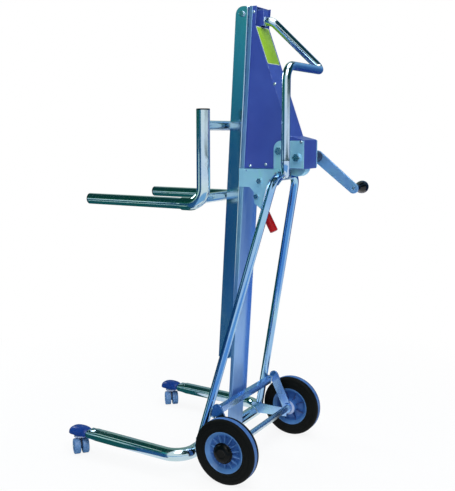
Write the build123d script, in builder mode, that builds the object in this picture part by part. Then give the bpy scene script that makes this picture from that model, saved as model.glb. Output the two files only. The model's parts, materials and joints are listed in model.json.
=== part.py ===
from build123d import *
import os
from math import acos, atan, atan2, cos, degrees, hypot, pi, radians, sin, sqrt, tan

os.makedirs("parts", exist_ok=True)

# A manual winch stacker: a hand-pushed lift on two large rear wheels and two front castors.
# Millimetres, Z up, forks along -Y, operator at +Y, left side at +X.
# The origin is on the floor, at the middle of the whole stacker's footprint.
# Lengths that end in _back are measured from the rear axle, and are positive towards the operator.

# Fits
run_fit = 0.06
seat_fit = 0.05
side_gap = 0.4
swing_gap = 0.6

# Rear wheels
wheel_r = 100
tyre_w = 40
tyre_round = 9
wheel_x = 225
rim_r = 63
rim_wall = 6
rim_web = 6
rib_count = 8
rib_t = 3
rib_w = 28
hub_r = 24
hub_out = 22
hub_cap_r = 27
hub_cap_w = 11
hub_cap_wall = 3
axle_r = 10
clip_r = 16
clip_t = 2
axle_tail = 3

# Wheel straps, axle plates and tie bar
strap_x = 187
strap_t = 5
strap_w = 32
strap_top_back = -52
strap_top_z = 207
axle_plate_t = 6
axle_plate_high = 101
axle_plate_low_front = 64
axle_plate_low_rear = 72
tie_h = 25
tie_t = 15
tie_z = 195

# Base tubes
base_r = 20
base_wall = 2.5
base_run_back = -131
base_run_z = 63
base_bend_r = 64
base_stub = 10
leg_x = 263
leg_len = 354
leg_flat_len = 28
leg_rise = 8
flat_w = 44
flat_h = 26
flat_corner = 9

# Tongues, caps and castors
tongue_w = 36
tongue_t = 8
tongue_root = 20
tongue_front = 30
swivel_ahead = 42.5
cap_w = 50
cap_ahead = 35.5
cap_corner = 20
cap_crown = 16
cap_low = 63
cap_high = 88
castor_wheel_r = 25
castor_wheel_w = 21
castor_wheel_round = 4
castor_web = 5
castor_trail = 12
castor_turn_left = 50
castor_turn_right = 40
castor_boss_r = 14
castor_collar_r = 20
castor_collar_h = 6
castor_clear = 2
castor_stem_r = 6
castor_axle_r = 4
castor_axle_proud = 1
castor_eye_r = 9

# Support frame
frame_r = 12.5
frame_wall = 2
frame_foot_x = 202
frame_foot_z = 62
frame_top_x = 75
frame_top_z = 900
frame_bend_r = 42
frame_base_back = -133
frame_lean = 13

# Mast
mast_lean = 3.28
mast_base_back = -105.2
column_half = 49
column_depth = 12
column_low = 45
column_flange_low = 165
mast_top = 1396
sheet = 3
rail_depth = 44
rail_lip = 22
rail_low = 322
rail_corner_r = 24
saddle_half = 40
saddle_below = 10
saddle_above = 30

# Top pulley and cable
pulley_drop = 22
pulley_r = 21
pulley_groove_r = 17.5
pulley_w = 12
pulley_hub_r = 10
pulley_bolt_r = 6
cable_r = 2.5
cable_gap = 0.3
slot_half = 8
slot_below = 60
slot_above = 14

# Winch
crank_back = 133
crank_z = 956
drum_back = 75.8
drum_z = 974.6
drum_core_r = 22
drum_flange_r = 36
drum_flange_t = 3
drum_low_x = -34
drum_high_x = 20
drum_hub_r = 13
gear_w = 12
gear_teeth = 38
pinion_teeth = 12
tooth_share = 0.4
tooth_up = 0.8
tooth_down = 1.1
tooth_slope = 20
shaft_r = 8
nut_r = 12
nut_h = 7
winch_in = 46
winch_t = 3
winch_front_back = 58
winch_rear_back = 155
winch_low = 925
winch_lap_low = 915
winch_step_back = 84
winch_high = 1005
winch_corner_r = 24
pan_r = 30
pan_t = 2
pan_back = 105
pan_z = 928
pan_top = 921
pan_x = -12

# Cover
cover_gap = 0.3
cover_t = 1.5
cover_low = 923
cover_top_back = -2
cover_brow_back = -7
cover_brow_drop = 56
cover_knee_back = 110
cover_knee_z = 1018
cover_rear_back = 154
cover_rear_z = 1007

# Pulley head box
head_half = 15
head_back = 5
head_low_drop = 54
head_high_drop = 8
head_room = 30

# Bracket plates and bolts
bracket_t = 3
bracket_front = 1
bracket_low = 866
bracket_high = 921
bracket_chamfer = 14
bracket_rise_z = 892
bracket_rise_back = 45
bracket_foot_back = 25
bracket_hole_r = 2.5
bracket_hole_back = -32.5
bracket_hole_z = 915
tail_front_back = -6
tail_tip_back = 18
tail_tip_z = 802
tail_rear_back = 36
bolt_r = 5
bolt_head_r = 9
bolt_head_h = 6
cross_bolt_back = 13
cross_bolt_z = 885
stop_s = 332

# Release lever
lever_back = 4
lever_rise = 36
lever_t = 5
lever_w = 16
lever_len = 112
lever_angle = -61
grip_r = 12.5
grip_len = 64
grip_tip = 5
lever_play = 1

# Push handle
handle_r = 12.5
handle_wall = 2
handle_half = 126
handle_back = 134
handle_top_z = 1214
handle_low_z = 913
handle_head_drop = 41
handle_neck = 20.5
handle_neck_bend_r = 25
handle_arm_bend_r = 15
handle_post_bend_r = 40
handle_foot_bend_r = 40
handle_end_x = -5
handle_end_z = 902
mouth_sides = 32

# Crank
crank_throw = 151
crank_angle = -38.5
hub_grip_r = 17
hub_grip_gap = 1
hub_grip_len = 50
arm_t = 6
arm_r_hub = 18
arm_r_knob = 15.5
knob_pin_r = 5
knob_start = 4
knob_len = 92
knob_neck_r = 9.5
knob_r = 19.5
knob_wide_at = 68
knob_wall = 12

# Carriage and forks
upright_x = 178.5
upright_back = -105
upright_r = 20
upright_wall = 2.5
upright_top = 1093
elbow_r = 50
elbow_reach = 72
tine_z = 819.5
tine_tip_back = -533
tine_r = 17
tine_wall = 2
tine_hold = 10
tine_taper = 12
plug_t = 4
cross_r = 14.5
cross_wall = 2
cross_short = 8
cross_back = -118.5
cross_high = 1049
cross_low_rise = 15.5
plate_in = 19
plate_t = 5
plate_margin = 22
plate_rear = 10
plate_inset = 2
plate_lug = 9
roller_w = 14
roller_x = 30
roller_gap = 0.4
roller_pin_r = 6
anchor_low = -76
anchor_high = -62
anchor_depth = 14

# Places worked out from the sizes above
crank_reach = crank_back + crank_throw * cos(radians(crank_angle)) + knob_r
leg_round = leg_len - leg_flat_len
base_tilt = degrees(atan(leg_rise / leg_len))
leg_end_back = base_run_back - leg_len * cos(radians(base_tilt))
front_reach = -(leg_end_back - swivel_ahead - cap_ahead)
axle_y = (front_reach - crank_reach) / 2
axle_z = wheel_r
base_run_y = axle_y + base_run_back
base_plane = Plane(
    origin=(0, base_run_y, base_run_z),
    x_dir=(1, 0, 0),
    z_dir=(0, sin(radians(base_tilt)), cos(radians(base_tilt))),
)
leg_end_y = axle_y + leg_end_back
tongue_z = base_run_z + leg_len * sin(radians(base_tilt))
swivel_y = leg_end_y - swivel_ahead
frame_plane = Plane(
    origin=(0, axle_y + frame_base_back, 0),
    x_dir=(1, 0, 0),
    z_dir=(0, -cos(radians(frame_lean)), sin(radians(frame_lean))),
)
mast_plane = Plane(
    origin=(0, axle_y + mast_base_back, 0),
    x_dir=(1, 0, 0),
    z_dir=(0, sin(radians(mast_lean)), cos(radians(mast_lean))),
)
pulley_s = mast_top - pulley_drop
lever_z = tail_tip_z + lever_rise
cover_top = mast_top * cos(radians(mast_lean))
cover_brow_z = cover_top - cover_brow_drop
head_low = cover_top - head_low_drop
head_high = cover_top - head_high_drop
handle_head_z = cover_top - handle_head_drop
axle_axis = Axis((0, axle_y, axle_z), (1, 0, 0))
rail_mid = -rail_depth / 2
crank_y = axle_y + crank_back
drum_y = axle_y + drum_back
knob_y = crank_y + crank_throw * cos(radians(crank_angle))
knob_z = crank_z + crank_throw * sin(radians(crank_angle))
winch_out = winch_in + winch_t
cover_half = winch_in - cover_gap
hub_grip_x = -winch_out - hub_grip_gap
arm_x = hub_grip_x - hub_grip_len
upright_y = axle_y + upright_back
cross_y = axle_y + cross_back
frame_run_y = axle_y + frame_base_back + frame_top_z * tan(radians(frame_lean))
upper_s = cross_high / cos(radians(mast_lean))
cross_low = tine_z + cross_low_rise
lower_s = cross_low / cos(radians(mast_lean))


def mast(back, up):
    """Y and Z of a point this far behind the mast's joint plane and this far up along it."""
    place = mast_plane.from_local_coords((0, back, up))
    return (place.Y, place.Z)


def on_mast(back, z):
    """Y and Z of a point behind the mast's joint plane, at this height above the floor."""
    up = (z + back * sin(radians(mast_lean))) / cos(radians(mast_lean))
    return mast(back, up)


def on_frame(x, z):
    """Place on the support frame's leaning plane, at this height above the floor."""
    return frame_plane.from_local_coords((x, z / cos(radians(frame_lean)), 0))


def on_base(x, y):
    """Place on the base tubes' tilted plane."""
    return base_plane.from_local_coords((x, y, 0))


def side_plane(x, y=0, z=0):
    """Plane whose X runs along the object's Y, and whose Y runs up, looking along the object's X."""
    return Plane(origin=(x, y, z), x_dir=(0, 1, 0), z_dir=(1, 0, 0))


def tube(points, bends, outer_r, inner_r=0):
    """Round tube or bar along straight runs with the given bend radii."""
    with BuildPart() as bent:
        with BuildLine() as path:
            if bends:
                FilletPolyline(*points, radius=bends)
            else:
                Line(*points)
        with BuildSketch(Plane(origin=path.line @ 0, z_dir=path.line % 0)):
            Circle(outer_r)
            if inner_r:
                Circle(inner_r, mode=Mode.SUBTRACT)
        sweep()
    return bent.part


def rod(x_low, x_high, y, z, r):
    """Plain bar along X."""
    with BuildPart() as bar:
        with BuildSketch(side_plane(x_low, y, z)):
            Circle(r)
        extrude(amount=x_high - x_low)
    return bar.part


def bolt(x_low, x_high, y, z, r):
    """Bar along X with a hexagon head or nut outside each end."""
    with BuildPart() as fastener:
        add(rod(x_low, x_high, y, z, r))
        with BuildSketch(side_plane(x_high, y, z)):
            RegularPolygon(bolt_head_r, 6)
        extrude(amount=bolt_head_h)
        with BuildSketch(side_plane(x_low, y, z)):
            RegularPolygon(bolt_head_r, 6)
        extrude(amount=-bolt_head_h)
    return fastener.part


def gear_outline(teeth, module, first_angle):
    """Corner points of a spur gear with straight-sided teeth."""
    pitch_r = module * teeth / 2
    half = tooth_share * pi * module / 2
    slope = tan(radians(tooth_slope))
    levels = (
        (pitch_r - tooth_down * module, half + tooth_down * module * slope),
        (pitch_r + tooth_up * module, half - tooth_up * module * slope),
    )
    corners = []
    for tooth in range(teeth):
        centre = radians(first_angle) + 2 * pi * tooth / teeth
        flank = [(r, -wide / r) for r, wide in levels]
        flank += [(r, wide / r) for r, wide in reversed(levels)]
        corners += [(r * cos(centre + turn), r * sin(centre + turn)) for r, turn in flank]
    return corners


# Rear axle, its retaining rings and the wheels

axle_end = wheel_x + hub_out + clip_t + side_gap + axle_tail

with BuildPart() as rear_axle:
    add(rod(-axle_end, axle_end, axle_y, axle_z, axle_r))
rear_axle.part.label = "rear_axle"
export_step(rear_axle.part, "parts/rear_axle.step")

with BuildPart() as axle_clips:
    with BuildSketch(side_plane(wheel_x + hub_out + side_gap, axle_y, axle_z)):
        Circle(clip_r)
        Circle(axle_r, mode=Mode.SUBTRACT)
    extrude(amount=clip_t)
    mirror(about=Plane.YZ)
axle_clips.part.label = "axle_clips"
export_step(axle_clips.part, "parts/axle_clips.step")

with BuildPart() as tyre_left:
    with BuildSketch(Plane(origin=(wheel_x, axle_y, axle_z))) as tyre_face:
        with Locations((0, (wheel_r + rim_r) / 2)):
            Rectangle(tyre_w, wheel_r - rim_r)
        fillet(tyre_face.vertices().group_by(Axis.Y)[-1], tyre_round)
    revolve(axis=axle_axis)
tyre_left.part.label = "tyre_left"
export_step(tyre_left.part, "parts/tyre_left.step")

with BuildPart() as tyre_right:
    mirror(tyre_left.part, about=Plane.YZ)
tyre_right.part.label = "tyre_right"
export_step(tyre_right.part, "parts/tyre_right.step")

hub_inner_x = strap_x + strap_t + swing_gap
hub_outer_x = wheel_x + hub_out

with BuildPart() as rim_left:
    with BuildSketch(side_plane(wheel_x - tyre_w / 2, axle_y, axle_z)):
        Circle(rim_r)
        Circle(rim_r - rim_wall, mode=Mode.SUBTRACT)
    extrude(amount=tyre_w)
    with BuildSketch(side_plane(wheel_x - rim_web / 2, axle_y, axle_z)):
        Circle(rim_r - rim_wall)
    extrude(amount=rim_web)
    with BuildSketch(side_plane(hub_inner_x, axle_y, axle_z)):
        Circle(hub_r)
    extrude(amount=hub_outer_x - hub_inner_x)
    with BuildSketch(side_plane(wheel_x - rib_w / 2, axle_y, axle_z)):
        with PolarLocations((rim_r - rim_wall + hub_r) / 2, rib_count):
            Rectangle(rim_r - hub_r, rib_t)
        Circle(rim_r - rim_wall / 2, mode=Mode.INTERSECT)
    extrude(amount=rib_w)
    with BuildSketch(side_plane(hub_inner_x, axle_y, axle_z)):
        Circle(axle_r + run_fit)
    extrude(amount=hub_outer_x - hub_inner_x, mode=Mode.SUBTRACT)
rim_left.part.label = "rim_left"
export_step(rim_left.part, "parts/rim_left.step")

with BuildPart() as rim_right:
    mirror(rim_left.part, about=Plane.YZ)
rim_right.part.label = "rim_right"
export_step(rim_right.part, "parts/rim_right.step")

with BuildPart() as hub_cap_left:
    with BuildSketch(side_plane(hub_outer_x, axle_y, axle_z)):
        Circle(hub_cap_r)
    extrude(amount=hub_cap_w)
    fillet(hub_cap_left.edges().group_by(Axis.X)[-1], hub_cap_w / 2)
    with BuildSketch(side_plane(hub_outer_x, axle_y, axle_z)):
        Circle(clip_r + axle_tail)
    extrude(amount=hub_cap_w - hub_cap_wall, mode=Mode.SUBTRACT)
hub_cap_left.part.label = "hub_cap_left"
export_step(hub_cap_left.part, "parts/hub_cap_left.step")

with BuildPart() as hub_cap_right:
    mirror(hub_cap_left.part, about=Plane.YZ)
hub_cap_right.part.label = "hub_cap_right"
export_step(hub_cap_right.part, "parts/hub_cap_right.step")

# Base tubes: a cross run and two legs that rise a little towards the front

run_half = leg_x - base_bend_r - base_stub
run_ends = (on_base(-run_half, 0), on_base(run_half, 0))
leg_route = (on_base(run_half, 0), on_base(leg_x, 0), on_base(leg_x, -leg_round))
base_run_bar = tube(run_ends, None, base_r)
base_side_bar = tube((on_base(0, 0), *leg_route[1:]), base_bend_r, base_r)
leg_ahead = -base_plane.y_dir

with BuildPart() as base_cross_tube:
    add(tube(run_ends, None, base_r, base_r - base_wall))
base_cross_tube.part.label = "base_cross_tube"
export_step(base_cross_tube.part, "parts/base_cross_tube.step")

tongue_y_low = swivel_y - tongue_front
tongue_y_high = leg_end_y + tongue_root

with BuildPart() as base_leg_left:
    add(tube(leg_route, base_bend_r, base_r, base_r - base_wall))
    with BuildSketch(Plane(origin=on_base(leg_x, -leg_round), x_dir=(1, 0, 0), z_dir=leg_ahead)):
        Circle(base_r)
    with BuildSketch(Plane(origin=on_base(leg_x, -leg_len), x_dir=(1, 0, 0), z_dir=leg_ahead)):
        RectangleRounded(flat_w, flat_h, flat_corner)
    loft()
    with BuildSketch(Plane.XY.offset(tongue_z - tongue_t / 2)):
        with Locations((leg_x, (tongue_y_low + tongue_y_high) / 2)):
            Rectangle(tongue_w, tongue_y_high - tongue_y_low)
        with Locations((leg_x, swivel_y)):
            Circle(castor_stem_r + run_fit, mode=Mode.SUBTRACT)
    extrude(amount=tongue_t)
base_leg_left.part.label = "base_leg_left"
export_step(base_leg_left.part, "parts/base_leg_left.step")

with BuildPart() as base_leg_right:
    mirror(base_leg_left.part, about=Plane.YZ)
base_leg_right.part.label = "base_leg_right"
export_step(base_leg_right.part, "parts/base_leg_right.step")

# Castor caps: a plastic dome pushed over each tongue

cap_y_low = swivel_y - cap_ahead
cap_y_high = leg_end_y - seat_fit

with BuildPart() as castor_cap_left:
    with BuildSketch(Plane.XY.offset(cap_low)):
        with Locations((leg_x, (cap_y_low + cap_y_high) / 2)):
            RectangleRounded(cap_w, cap_y_high - cap_y_low, cap_corner)
    extrude(amount=cap_high - cap_low)
    fillet(castor_cap_left.faces().sort_by(Axis.Z)[-1].edges(), cap_crown)
    with BuildSketch(Plane.XY.offset(cap_low)):
        with Locations((leg_x, (tongue_y_low - seat_fit + leg_end_y) / 2)):
            Rectangle(tongue_w + 2 * seat_fit, leg_end_y - tongue_y_low + seat_fit)
    extrude(amount=tongue_z + tongue_t / 2 - cap_low, mode=Mode.SUBTRACT)
castor_cap_left.part.label = "castor_cap_left"
export_step(castor_cap_left.part, "parts/castor_cap_left.step")

with BuildPart() as castor_cap_right:
    mirror(castor_cap_left.part, about=Plane.YZ)
castor_cap_right.part.label = "castor_cap_right"
export_step(castor_cap_right.part, "parts/castor_cap_right.step")

# Castors: a stem in the tongue, a web between twin wheels and a cross axle

castor_boss_low = 2 * castor_wheel_r + castor_clear
stem_top = tongue_z + tongue_t / 2 - side_gap
boss_top = tongue_z - tongue_t / 2 - side_gap
axle_place = (castor_trail, castor_wheel_r)


def castor_side(x, turn):
    """Upright plane through a castor's swivel, with its X along the castor's rolling direction."""
    rolling = (cos(radians(turn)), sin(radians(turn)), 0)
    axle_line = (sin(radians(turn)), -cos(radians(turn)), 0)
    return Plane(origin=(x, swivel_y, 0), x_dir=rolling, z_dir=axle_line)


def castor_fork(x, turn):
    """Castor body: stem, boss, collar, web and axle in one."""
    with BuildPart() as body:
        with BuildSketch(Plane(origin=(x, swivel_y, castor_boss_low))):
            Circle(castor_boss_r)
        extrude(amount=boss_top - castor_boss_low)
        with BuildSketch(Plane(origin=(x, swivel_y, castor_boss_low))):
            Circle(castor_collar_r)
        extrude(amount=castor_collar_h)
        with BuildSketch(Plane(origin=(x, swivel_y, castor_boss_low))):
            Circle(castor_stem_r)
        extrude(amount=stem_top - castor_boss_low)
        with BuildSketch(castor_side(x, turn)):
            with Locations(axle_place):
                Circle(castor_eye_r)
            with Locations((0, castor_boss_low)):
                Rectangle(2 * castor_stem_r, castor_clear)
            make_hull()
        extrude(amount=castor_web / 2, both=True)
        with BuildSketch(castor_side(x, turn)):
            with Locations(axle_place):
                Circle(castor_axle_r)
        extrude(amount=castor_web / 2 + side_gap + castor_wheel_w + castor_axle_proud, both=True)
    return body.part


def castor_wheels(x, turn):
    """Twin wheels of a castor, one each side of its web."""
    with BuildPart() as pair:
        for side in (1, -1):
            with BuildSketch(castor_side(x, turn).offset(side * (castor_web / 2 + side_gap))):
                with Locations(axle_place):
                    Circle(castor_wheel_r)
                    Circle(castor_axle_r + run_fit, mode=Mode.SUBTRACT)
            extrude(amount=side * castor_wheel_w)
        rounds = pair.edges().filter_by(GeomType.CIRCLE)
        treads = [edge for edge in rounds if edge.radius > castor_wheel_r - castor_wheel_round]
        fillet(treads, castor_wheel_round)
    return pair.part


with BuildPart() as castor_fork_left:
    add(castor_fork(leg_x, castor_turn_left))
castor_fork_left.part.label = "castor_fork_left"
export_step(castor_fork_left.part, "parts/castor_fork_left.step")

with BuildPart() as castor_fork_right:
    add(castor_fork(-leg_x, castor_turn_right))
castor_fork_right.part.label = "castor_fork_right"
export_step(castor_fork_right.part, "parts/castor_fork_right.step")

with BuildPart() as castor_wheels_left:
    add(castor_wheels(leg_x, castor_turn_left))
castor_wheels_left.part.label = "castor_wheels_left"
export_step(castor_wheels_left.part, "parts/castor_wheels_left.step")

with BuildPart() as castor_wheels_right:
    add(castor_wheels(-leg_x, castor_turn_right))
castor_wheels_right.part.label = "castor_wheels_right"
export_step(castor_wheels_right.part, "parts/castor_wheels_right.step")

# Support frame: one bent tube, in two halves that meet at the middle

frame_route = (
    on_frame(frame_foot_x, frame_foot_z),
    on_frame(frame_top_x, frame_top_z),
    on_frame(0, frame_top_z),
)
frame_bar_left = tube(frame_route, frame_bend_r, frame_r)
frame_bar_right = frame_bar_left.mirror(Plane.YZ)

# Many flat sides cut a cleaner mouth than a round bar where two equal tubes meet at a slant
with BuildPart() as frame_run_cutter:
    with BuildSketch(side_plane(0, frame_run_y, frame_top_z)):
        RegularPolygon(frame_r, mouth_sides, major_radius=False)
    extrude(amount=frame_top_x, both=True)

with BuildPart() as frame_tube_left:
    add(tube(frame_route, frame_bend_r, frame_r, frame_r - frame_wall))
    add(base_side_bar, mode=Mode.SUBTRACT)
frame_tube_left.part.label = "frame_tube_left"
export_step(frame_tube_left.part, "parts/frame_tube_left.step")

with BuildPart() as frame_tube_right:
    mirror(frame_tube_left.part, about=Plane.YZ)
frame_tube_right.part.label = "frame_tube_right"
export_step(frame_tube_right.part, "parts/frame_tube_right.step")

# Tie bar behind the frame's legs, wheel straps from its ends to the axle, plates to the base

with BuildPart() as tie_bar:
    with BuildSketch(frame_plane.offset(-frame_r)):
        with Locations((0, tie_z / cos(radians(frame_lean)))):
            Rectangle(2 * strap_x, tie_h)
    extrude(amount=-tie_t)
tie_bar.part.label = "tie_bar"
export_step(tie_bar.part, "parts/tie_bar.step")

strap_rise = strap_top_z - axle_z
strap_mid = (axle_y + strap_top_back / 2, axle_z + strap_rise / 2)

with BuildPart() as wheel_straps:
    with BuildSketch(side_plane(strap_x)):
        with Locations(strap_mid):
            SlotCenterToCenter(
                hypot(strap_top_back, strap_rise),
                strap_w,
                rotation=degrees(atan2(strap_rise, strap_top_back)),
            )
        with Locations((axle_y, axle_z)):
            Circle(axle_r + seat_fit, mode=Mode.SUBTRACT)
    extrude(amount=strap_t)
    mirror(about=Plane.YZ)
wheel_straps.part.label = "wheel_straps"
export_step(wheel_straps.part, "parts/wheel_straps.step")

with BuildPart() as axle_plates:
    with BuildSketch(side_plane(strap_x)):
        with BuildLine():
            Polyline(
                (base_run_y, axle_plate_low_front),
                (base_run_y, axle_plate_high),
                (axle_y, axle_plate_high),
                (axle_y, axle_plate_low_rear),
                close=True,
            )
        make_face()
        with Locations((axle_y, axle_z)):
            Circle(strap_w / 2)
            Circle(axle_r + seat_fit, mode=Mode.SUBTRACT)
    extrude(amount=-axle_plate_t)
    add(base_run_bar, mode=Mode.SUBTRACT)
    add(frame_bar_left, mode=Mode.SUBTRACT)
    plate_rest = axle_plates.part.solids().sort_by(SortBy.VOLUME)[-1]
    add(plate_rest, mode=Mode.REPLACE)
    mirror(about=Plane.YZ)
axle_plates.part.label = "axle_plates"
export_step(axle_plates.part, "parts/axle_plates.step")

# Mast: a shallow column channel open to the rear, and a guide rail open to the front

with BuildPart() as mast_column:
    with BuildSketch(mast_plane.offset(column_low)):
        with Locations((0, sheet / 2)):
            Rectangle(2 * column_half, sheet)
    extrude(amount=mast_top - column_low)
    with BuildSketch(mast_plane.offset(column_flange_low)):
        for side in (1, -1):
            with Locations((side * (column_half - sheet / 2), column_depth / 2)):
                Rectangle(sheet, column_depth)
    extrude(amount=mast_top - column_flange_low)
    with BuildSketch(mast_plane.offset(pulley_s - slot_below)):
        with Locations((0, sheet / 2)):
            Rectangle(2 * slot_half, sheet)
    extrude(amount=slot_below + slot_above, mode=Mode.SUBTRACT)
mast_column.part.label = "mast_column"
export_step(mast_column.part, "parts/mast_column.step")

rail_wall_x = column_half - sheet
corner_start = mast(-rail_depth, mast_top - rail_corner_r)
corner_end = mast(-rail_depth + rail_corner_r, mast_top)
corner_tip = mast(-rail_depth, mast_top)
corner_mid = mast(
    -rail_depth + rail_corner_r * (1 - sqrt(0.5)),
    mast_top - rail_corner_r * (1 - sqrt(0.5)),
)

with BuildPart() as mast_rail:
    with BuildSketch(mast_plane.offset(rail_low)):
        with Locations((0, rail_mid)):
            Rectangle(2 * column_half, rail_depth)
            Rectangle(2 * rail_wall_x, rail_depth - 2 * sheet, mode=Mode.SUBTRACT)
        with Locations((0, -rail_depth + sheet / 2)):
            Rectangle(2 * (column_half - rail_lip), sheet, mode=Mode.SUBTRACT)
    extrude(amount=mast_top - rail_low)
    with BuildSketch(Plane.YZ):
        with BuildLine():
            ThreePointArc(corner_start, corner_mid, corner_end)
            Polyline(corner_end, corner_tip, corner_start)
        make_face()
    extrude(amount=column_half, both=True, mode=Mode.SUBTRACT)
    with BuildSketch(mast_plane.offset(pulley_s - slot_below)):
        with Locations((0, -sheet / 2)):
            Rectangle(2 * slot_half, sheet)
    extrude(amount=slot_below + slot_above, mode=Mode.SUBTRACT)
    for height, hole_r in ((pulley_s, pulley_bolt_r), (stop_s, bolt_r)):
        with BuildSketch(side_plane(0)):
            with Locations(mast(rail_mid, height)):
                Circle(hole_r + seat_fit)
        extrude(amount=column_half, both=True, mode=Mode.SUBTRACT)
mast_rail.part.label = "mast_rail"
export_step(mast_rail.part, "parts/mast_rail.step")

with BuildPart() as column_saddle:
    with BuildSketch(Plane.YZ):
        with BuildLine():
            Polyline(
                (base_run_y, base_run_z - saddle_below),
                on_mast(0, base_run_z - saddle_below),
                on_mast(0, base_run_z + saddle_above),
                on_mast(-sheet, base_run_z + saddle_above),
                (base_run_y, base_run_z + base_r / 2),
                close=True,
            )
        make_face()
    extrude(amount=saddle_half, both=True)
    add(base_run_bar, mode=Mode.SUBTRACT)
column_saddle.part.label = "column_saddle"
export_step(column_saddle.part, "parts/column_saddle.step")

# Head box at the top of the column, where the handle's upper end joins

with BuildPart() as pulley_head:
    with BuildSketch(Plane.YZ):
        with BuildLine():
            Polyline(
                on_mast(sheet, head_low),
                (axle_y + head_back, head_low),
                (axle_y + head_back, head_high),
                on_mast(sheet, head_high),
                close=True,
            )
        make_face()
    extrude(amount=head_half, both=True)
    with BuildSketch(Plane.YZ):
        with BuildLine():
            Polyline(
                on_mast(0, head_low - sheet),
                (axle_y + head_back - sheet, head_low - sheet),
                (axle_y + head_back - sheet, head_high - sheet),
                on_mast(0, head_high - sheet),
                close=True,
            )
        make_face()
    extrude(amount=head_half - sheet, both=True, mode=Mode.SUBTRACT)
pulley_head.part.label = "pulley_head"
export_step(pulley_head.part, "parts/pulley_head.step")

# Push handle: one tube from the head box, round the grip, down the left side to the frame

neck_start = Vector(0, axle_y + head_back, handle_head_z)
neck_end = Vector(0, axle_y + head_back + handle_neck, handle_head_z)
grip_far = Vector(-handle_half, axle_y + handle_back, handle_top_z)
grip_near = Vector(handle_half, axle_y + handle_back, handle_top_z)
handle_corner = Vector(handle_half, axle_y + handle_back, handle_low_z)
handle_end = Vector(handle_end_x, frame_run_y, handle_end_z)
handle_route = (neck_start, neck_end, grip_far, grip_near, handle_corner, handle_end)
handle_bends = (handle_neck_bend_r, handle_arm_bend_r, handle_post_bend_r, handle_foot_bend_r)

with BuildPart() as handle_tube:
    add(tube(handle_route, handle_bends, handle_r, handle_r - handle_wall))
    add(frame_run_cutter.part, mode=Mode.SUBTRACT)
    handle_rest = handle_tube.part.solids().sort_by(SortBy.VOLUME)[-1]
    add(handle_rest, mode=Mode.REPLACE)
handle_tube.part.label = "handle_tube"
export_step(handle_tube.part, "parts/handle_tube.step")

# Bracket plates from the column to the support frame, with a tail for the lever on the left one

bracket_in = column_half
bracket_y_low = on_mast(0, bracket_low)[0] - bracket_front
foot_points = ((axle_y + bracket_foot_back, bracket_low),)
tail_points = (
    (axle_y + tail_rear_back, bracket_low),
    (axle_y + tail_tip_back, tail_tip_z),
    (axle_y + lever_back - lever_w / 2, tail_tip_z + lever_w),
    (axle_y + tail_front_back, bracket_low - bracket_chamfer),
    (axle_y + tail_front_back - bracket_chamfer, bracket_low),
)


def bracket_plate(side, low_edge):
    """Side plate of the winch bracket, standing outside the column's flange."""
    with BuildPart() as plate:
        with BuildSketch(side_plane(side * bracket_in)):
            with BuildLine():
                Polyline(
                    (bracket_y_low, bracket_low),
                    (bracket_y_low, bracket_high),
                    (frame_run_y, bracket_high),
                    (frame_run_y, bracket_rise_z),
                    (axle_y + bracket_rise_back, bracket_rise_z),
                    *low_edge,
                    close=True,
                )
            make_face()
            with Locations((axle_y + cross_bolt_back, cross_bolt_z)):
                Circle(bolt_r + seat_fit, mode=Mode.SUBTRACT)
            if low_edge == tail_points:
                with Locations((axle_y + lever_back, lever_z)):
                    Circle(bolt_r + seat_fit, mode=Mode.SUBTRACT)
                with Locations((axle_y + bracket_hole_back, bracket_hole_z)):
                    Circle(bracket_hole_r, mode=Mode.SUBTRACT)
        extrude(amount=side * bracket_t)
        add(frame_bar_left, mode=Mode.SUBTRACT)
        add(frame_bar_right, mode=Mode.SUBTRACT)
    return plate.part


with BuildPart() as bracket_plate_left:
    add(bracket_plate(1, tail_points))
bracket_plate_left.part.label = "bracket_plate_left"
export_step(bracket_plate_left.part, "parts/bracket_plate_left.step")

with BuildPart() as bracket_plate_right:
    add(bracket_plate(-1, foot_points))
bracket_plate_right.part.label = "bracket_plate_right"
export_step(bracket_plate_right.part, "parts/bracket_plate_right.step")

# Winch side plates

winch_y_low = axle_y + winch_front_back
winch_y_high = axle_y + winch_rear_back

with BuildPart() as winch_plate_left:
    with BuildSketch(side_plane(winch_in)) as winch_side:
        with BuildLine():
            Polyline(
                (winch_y_low, winch_lap_low),
                (axle_y + winch_step_back, winch_lap_low),
                (axle_y + winch_step_back, winch_low),
                (winch_y_high, winch_low),
                (winch_y_high, winch_high),
                (winch_y_low, winch_high),
                close=True,
            )
        make_face()
        fillet(winch_side.vertices().group_by(Axis.X)[0].sort_by(Axis.Y)[-1], winch_corner_r)
        with Locations((crank_y, crank_z), (drum_y, drum_z)):
            Circle(shaft_r + run_fit, mode=Mode.SUBTRACT)
    extrude(amount=winch_t)
winch_plate_left.part.label = "winch_plate_left"
export_step(winch_plate_left.part, "parts/winch_plate_left.step")

with BuildPart() as winch_plate_right:
    mirror(winch_plate_left.part, about=Plane.YZ)
winch_plate_right.part.label = "winch_plate_right"
export_step(winch_plate_right.part, "parts/winch_plate_right.step")

# Pan below the winch, a trough closed at both ends, fixed to the right-hand winch plate

pan_y = axle_y + pan_back
pan_drop = pan_z - pan_top


def pan_block(x_low, x_high, r):
    """Lower part of a round bar along X, cut off level at the pan's rim."""
    with BuildPart() as block:
        with BuildSketch(side_plane(x_low, pan_y, pan_z)):
            Circle(r)
            with Locations((0, -pan_drop)):
                Rectangle(2 * pan_r, 2 * pan_r, align=(Align.CENTER, Align.MIN), mode=Mode.SUBTRACT)
        extrude(amount=x_high - x_low)
    return block.part


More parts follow.
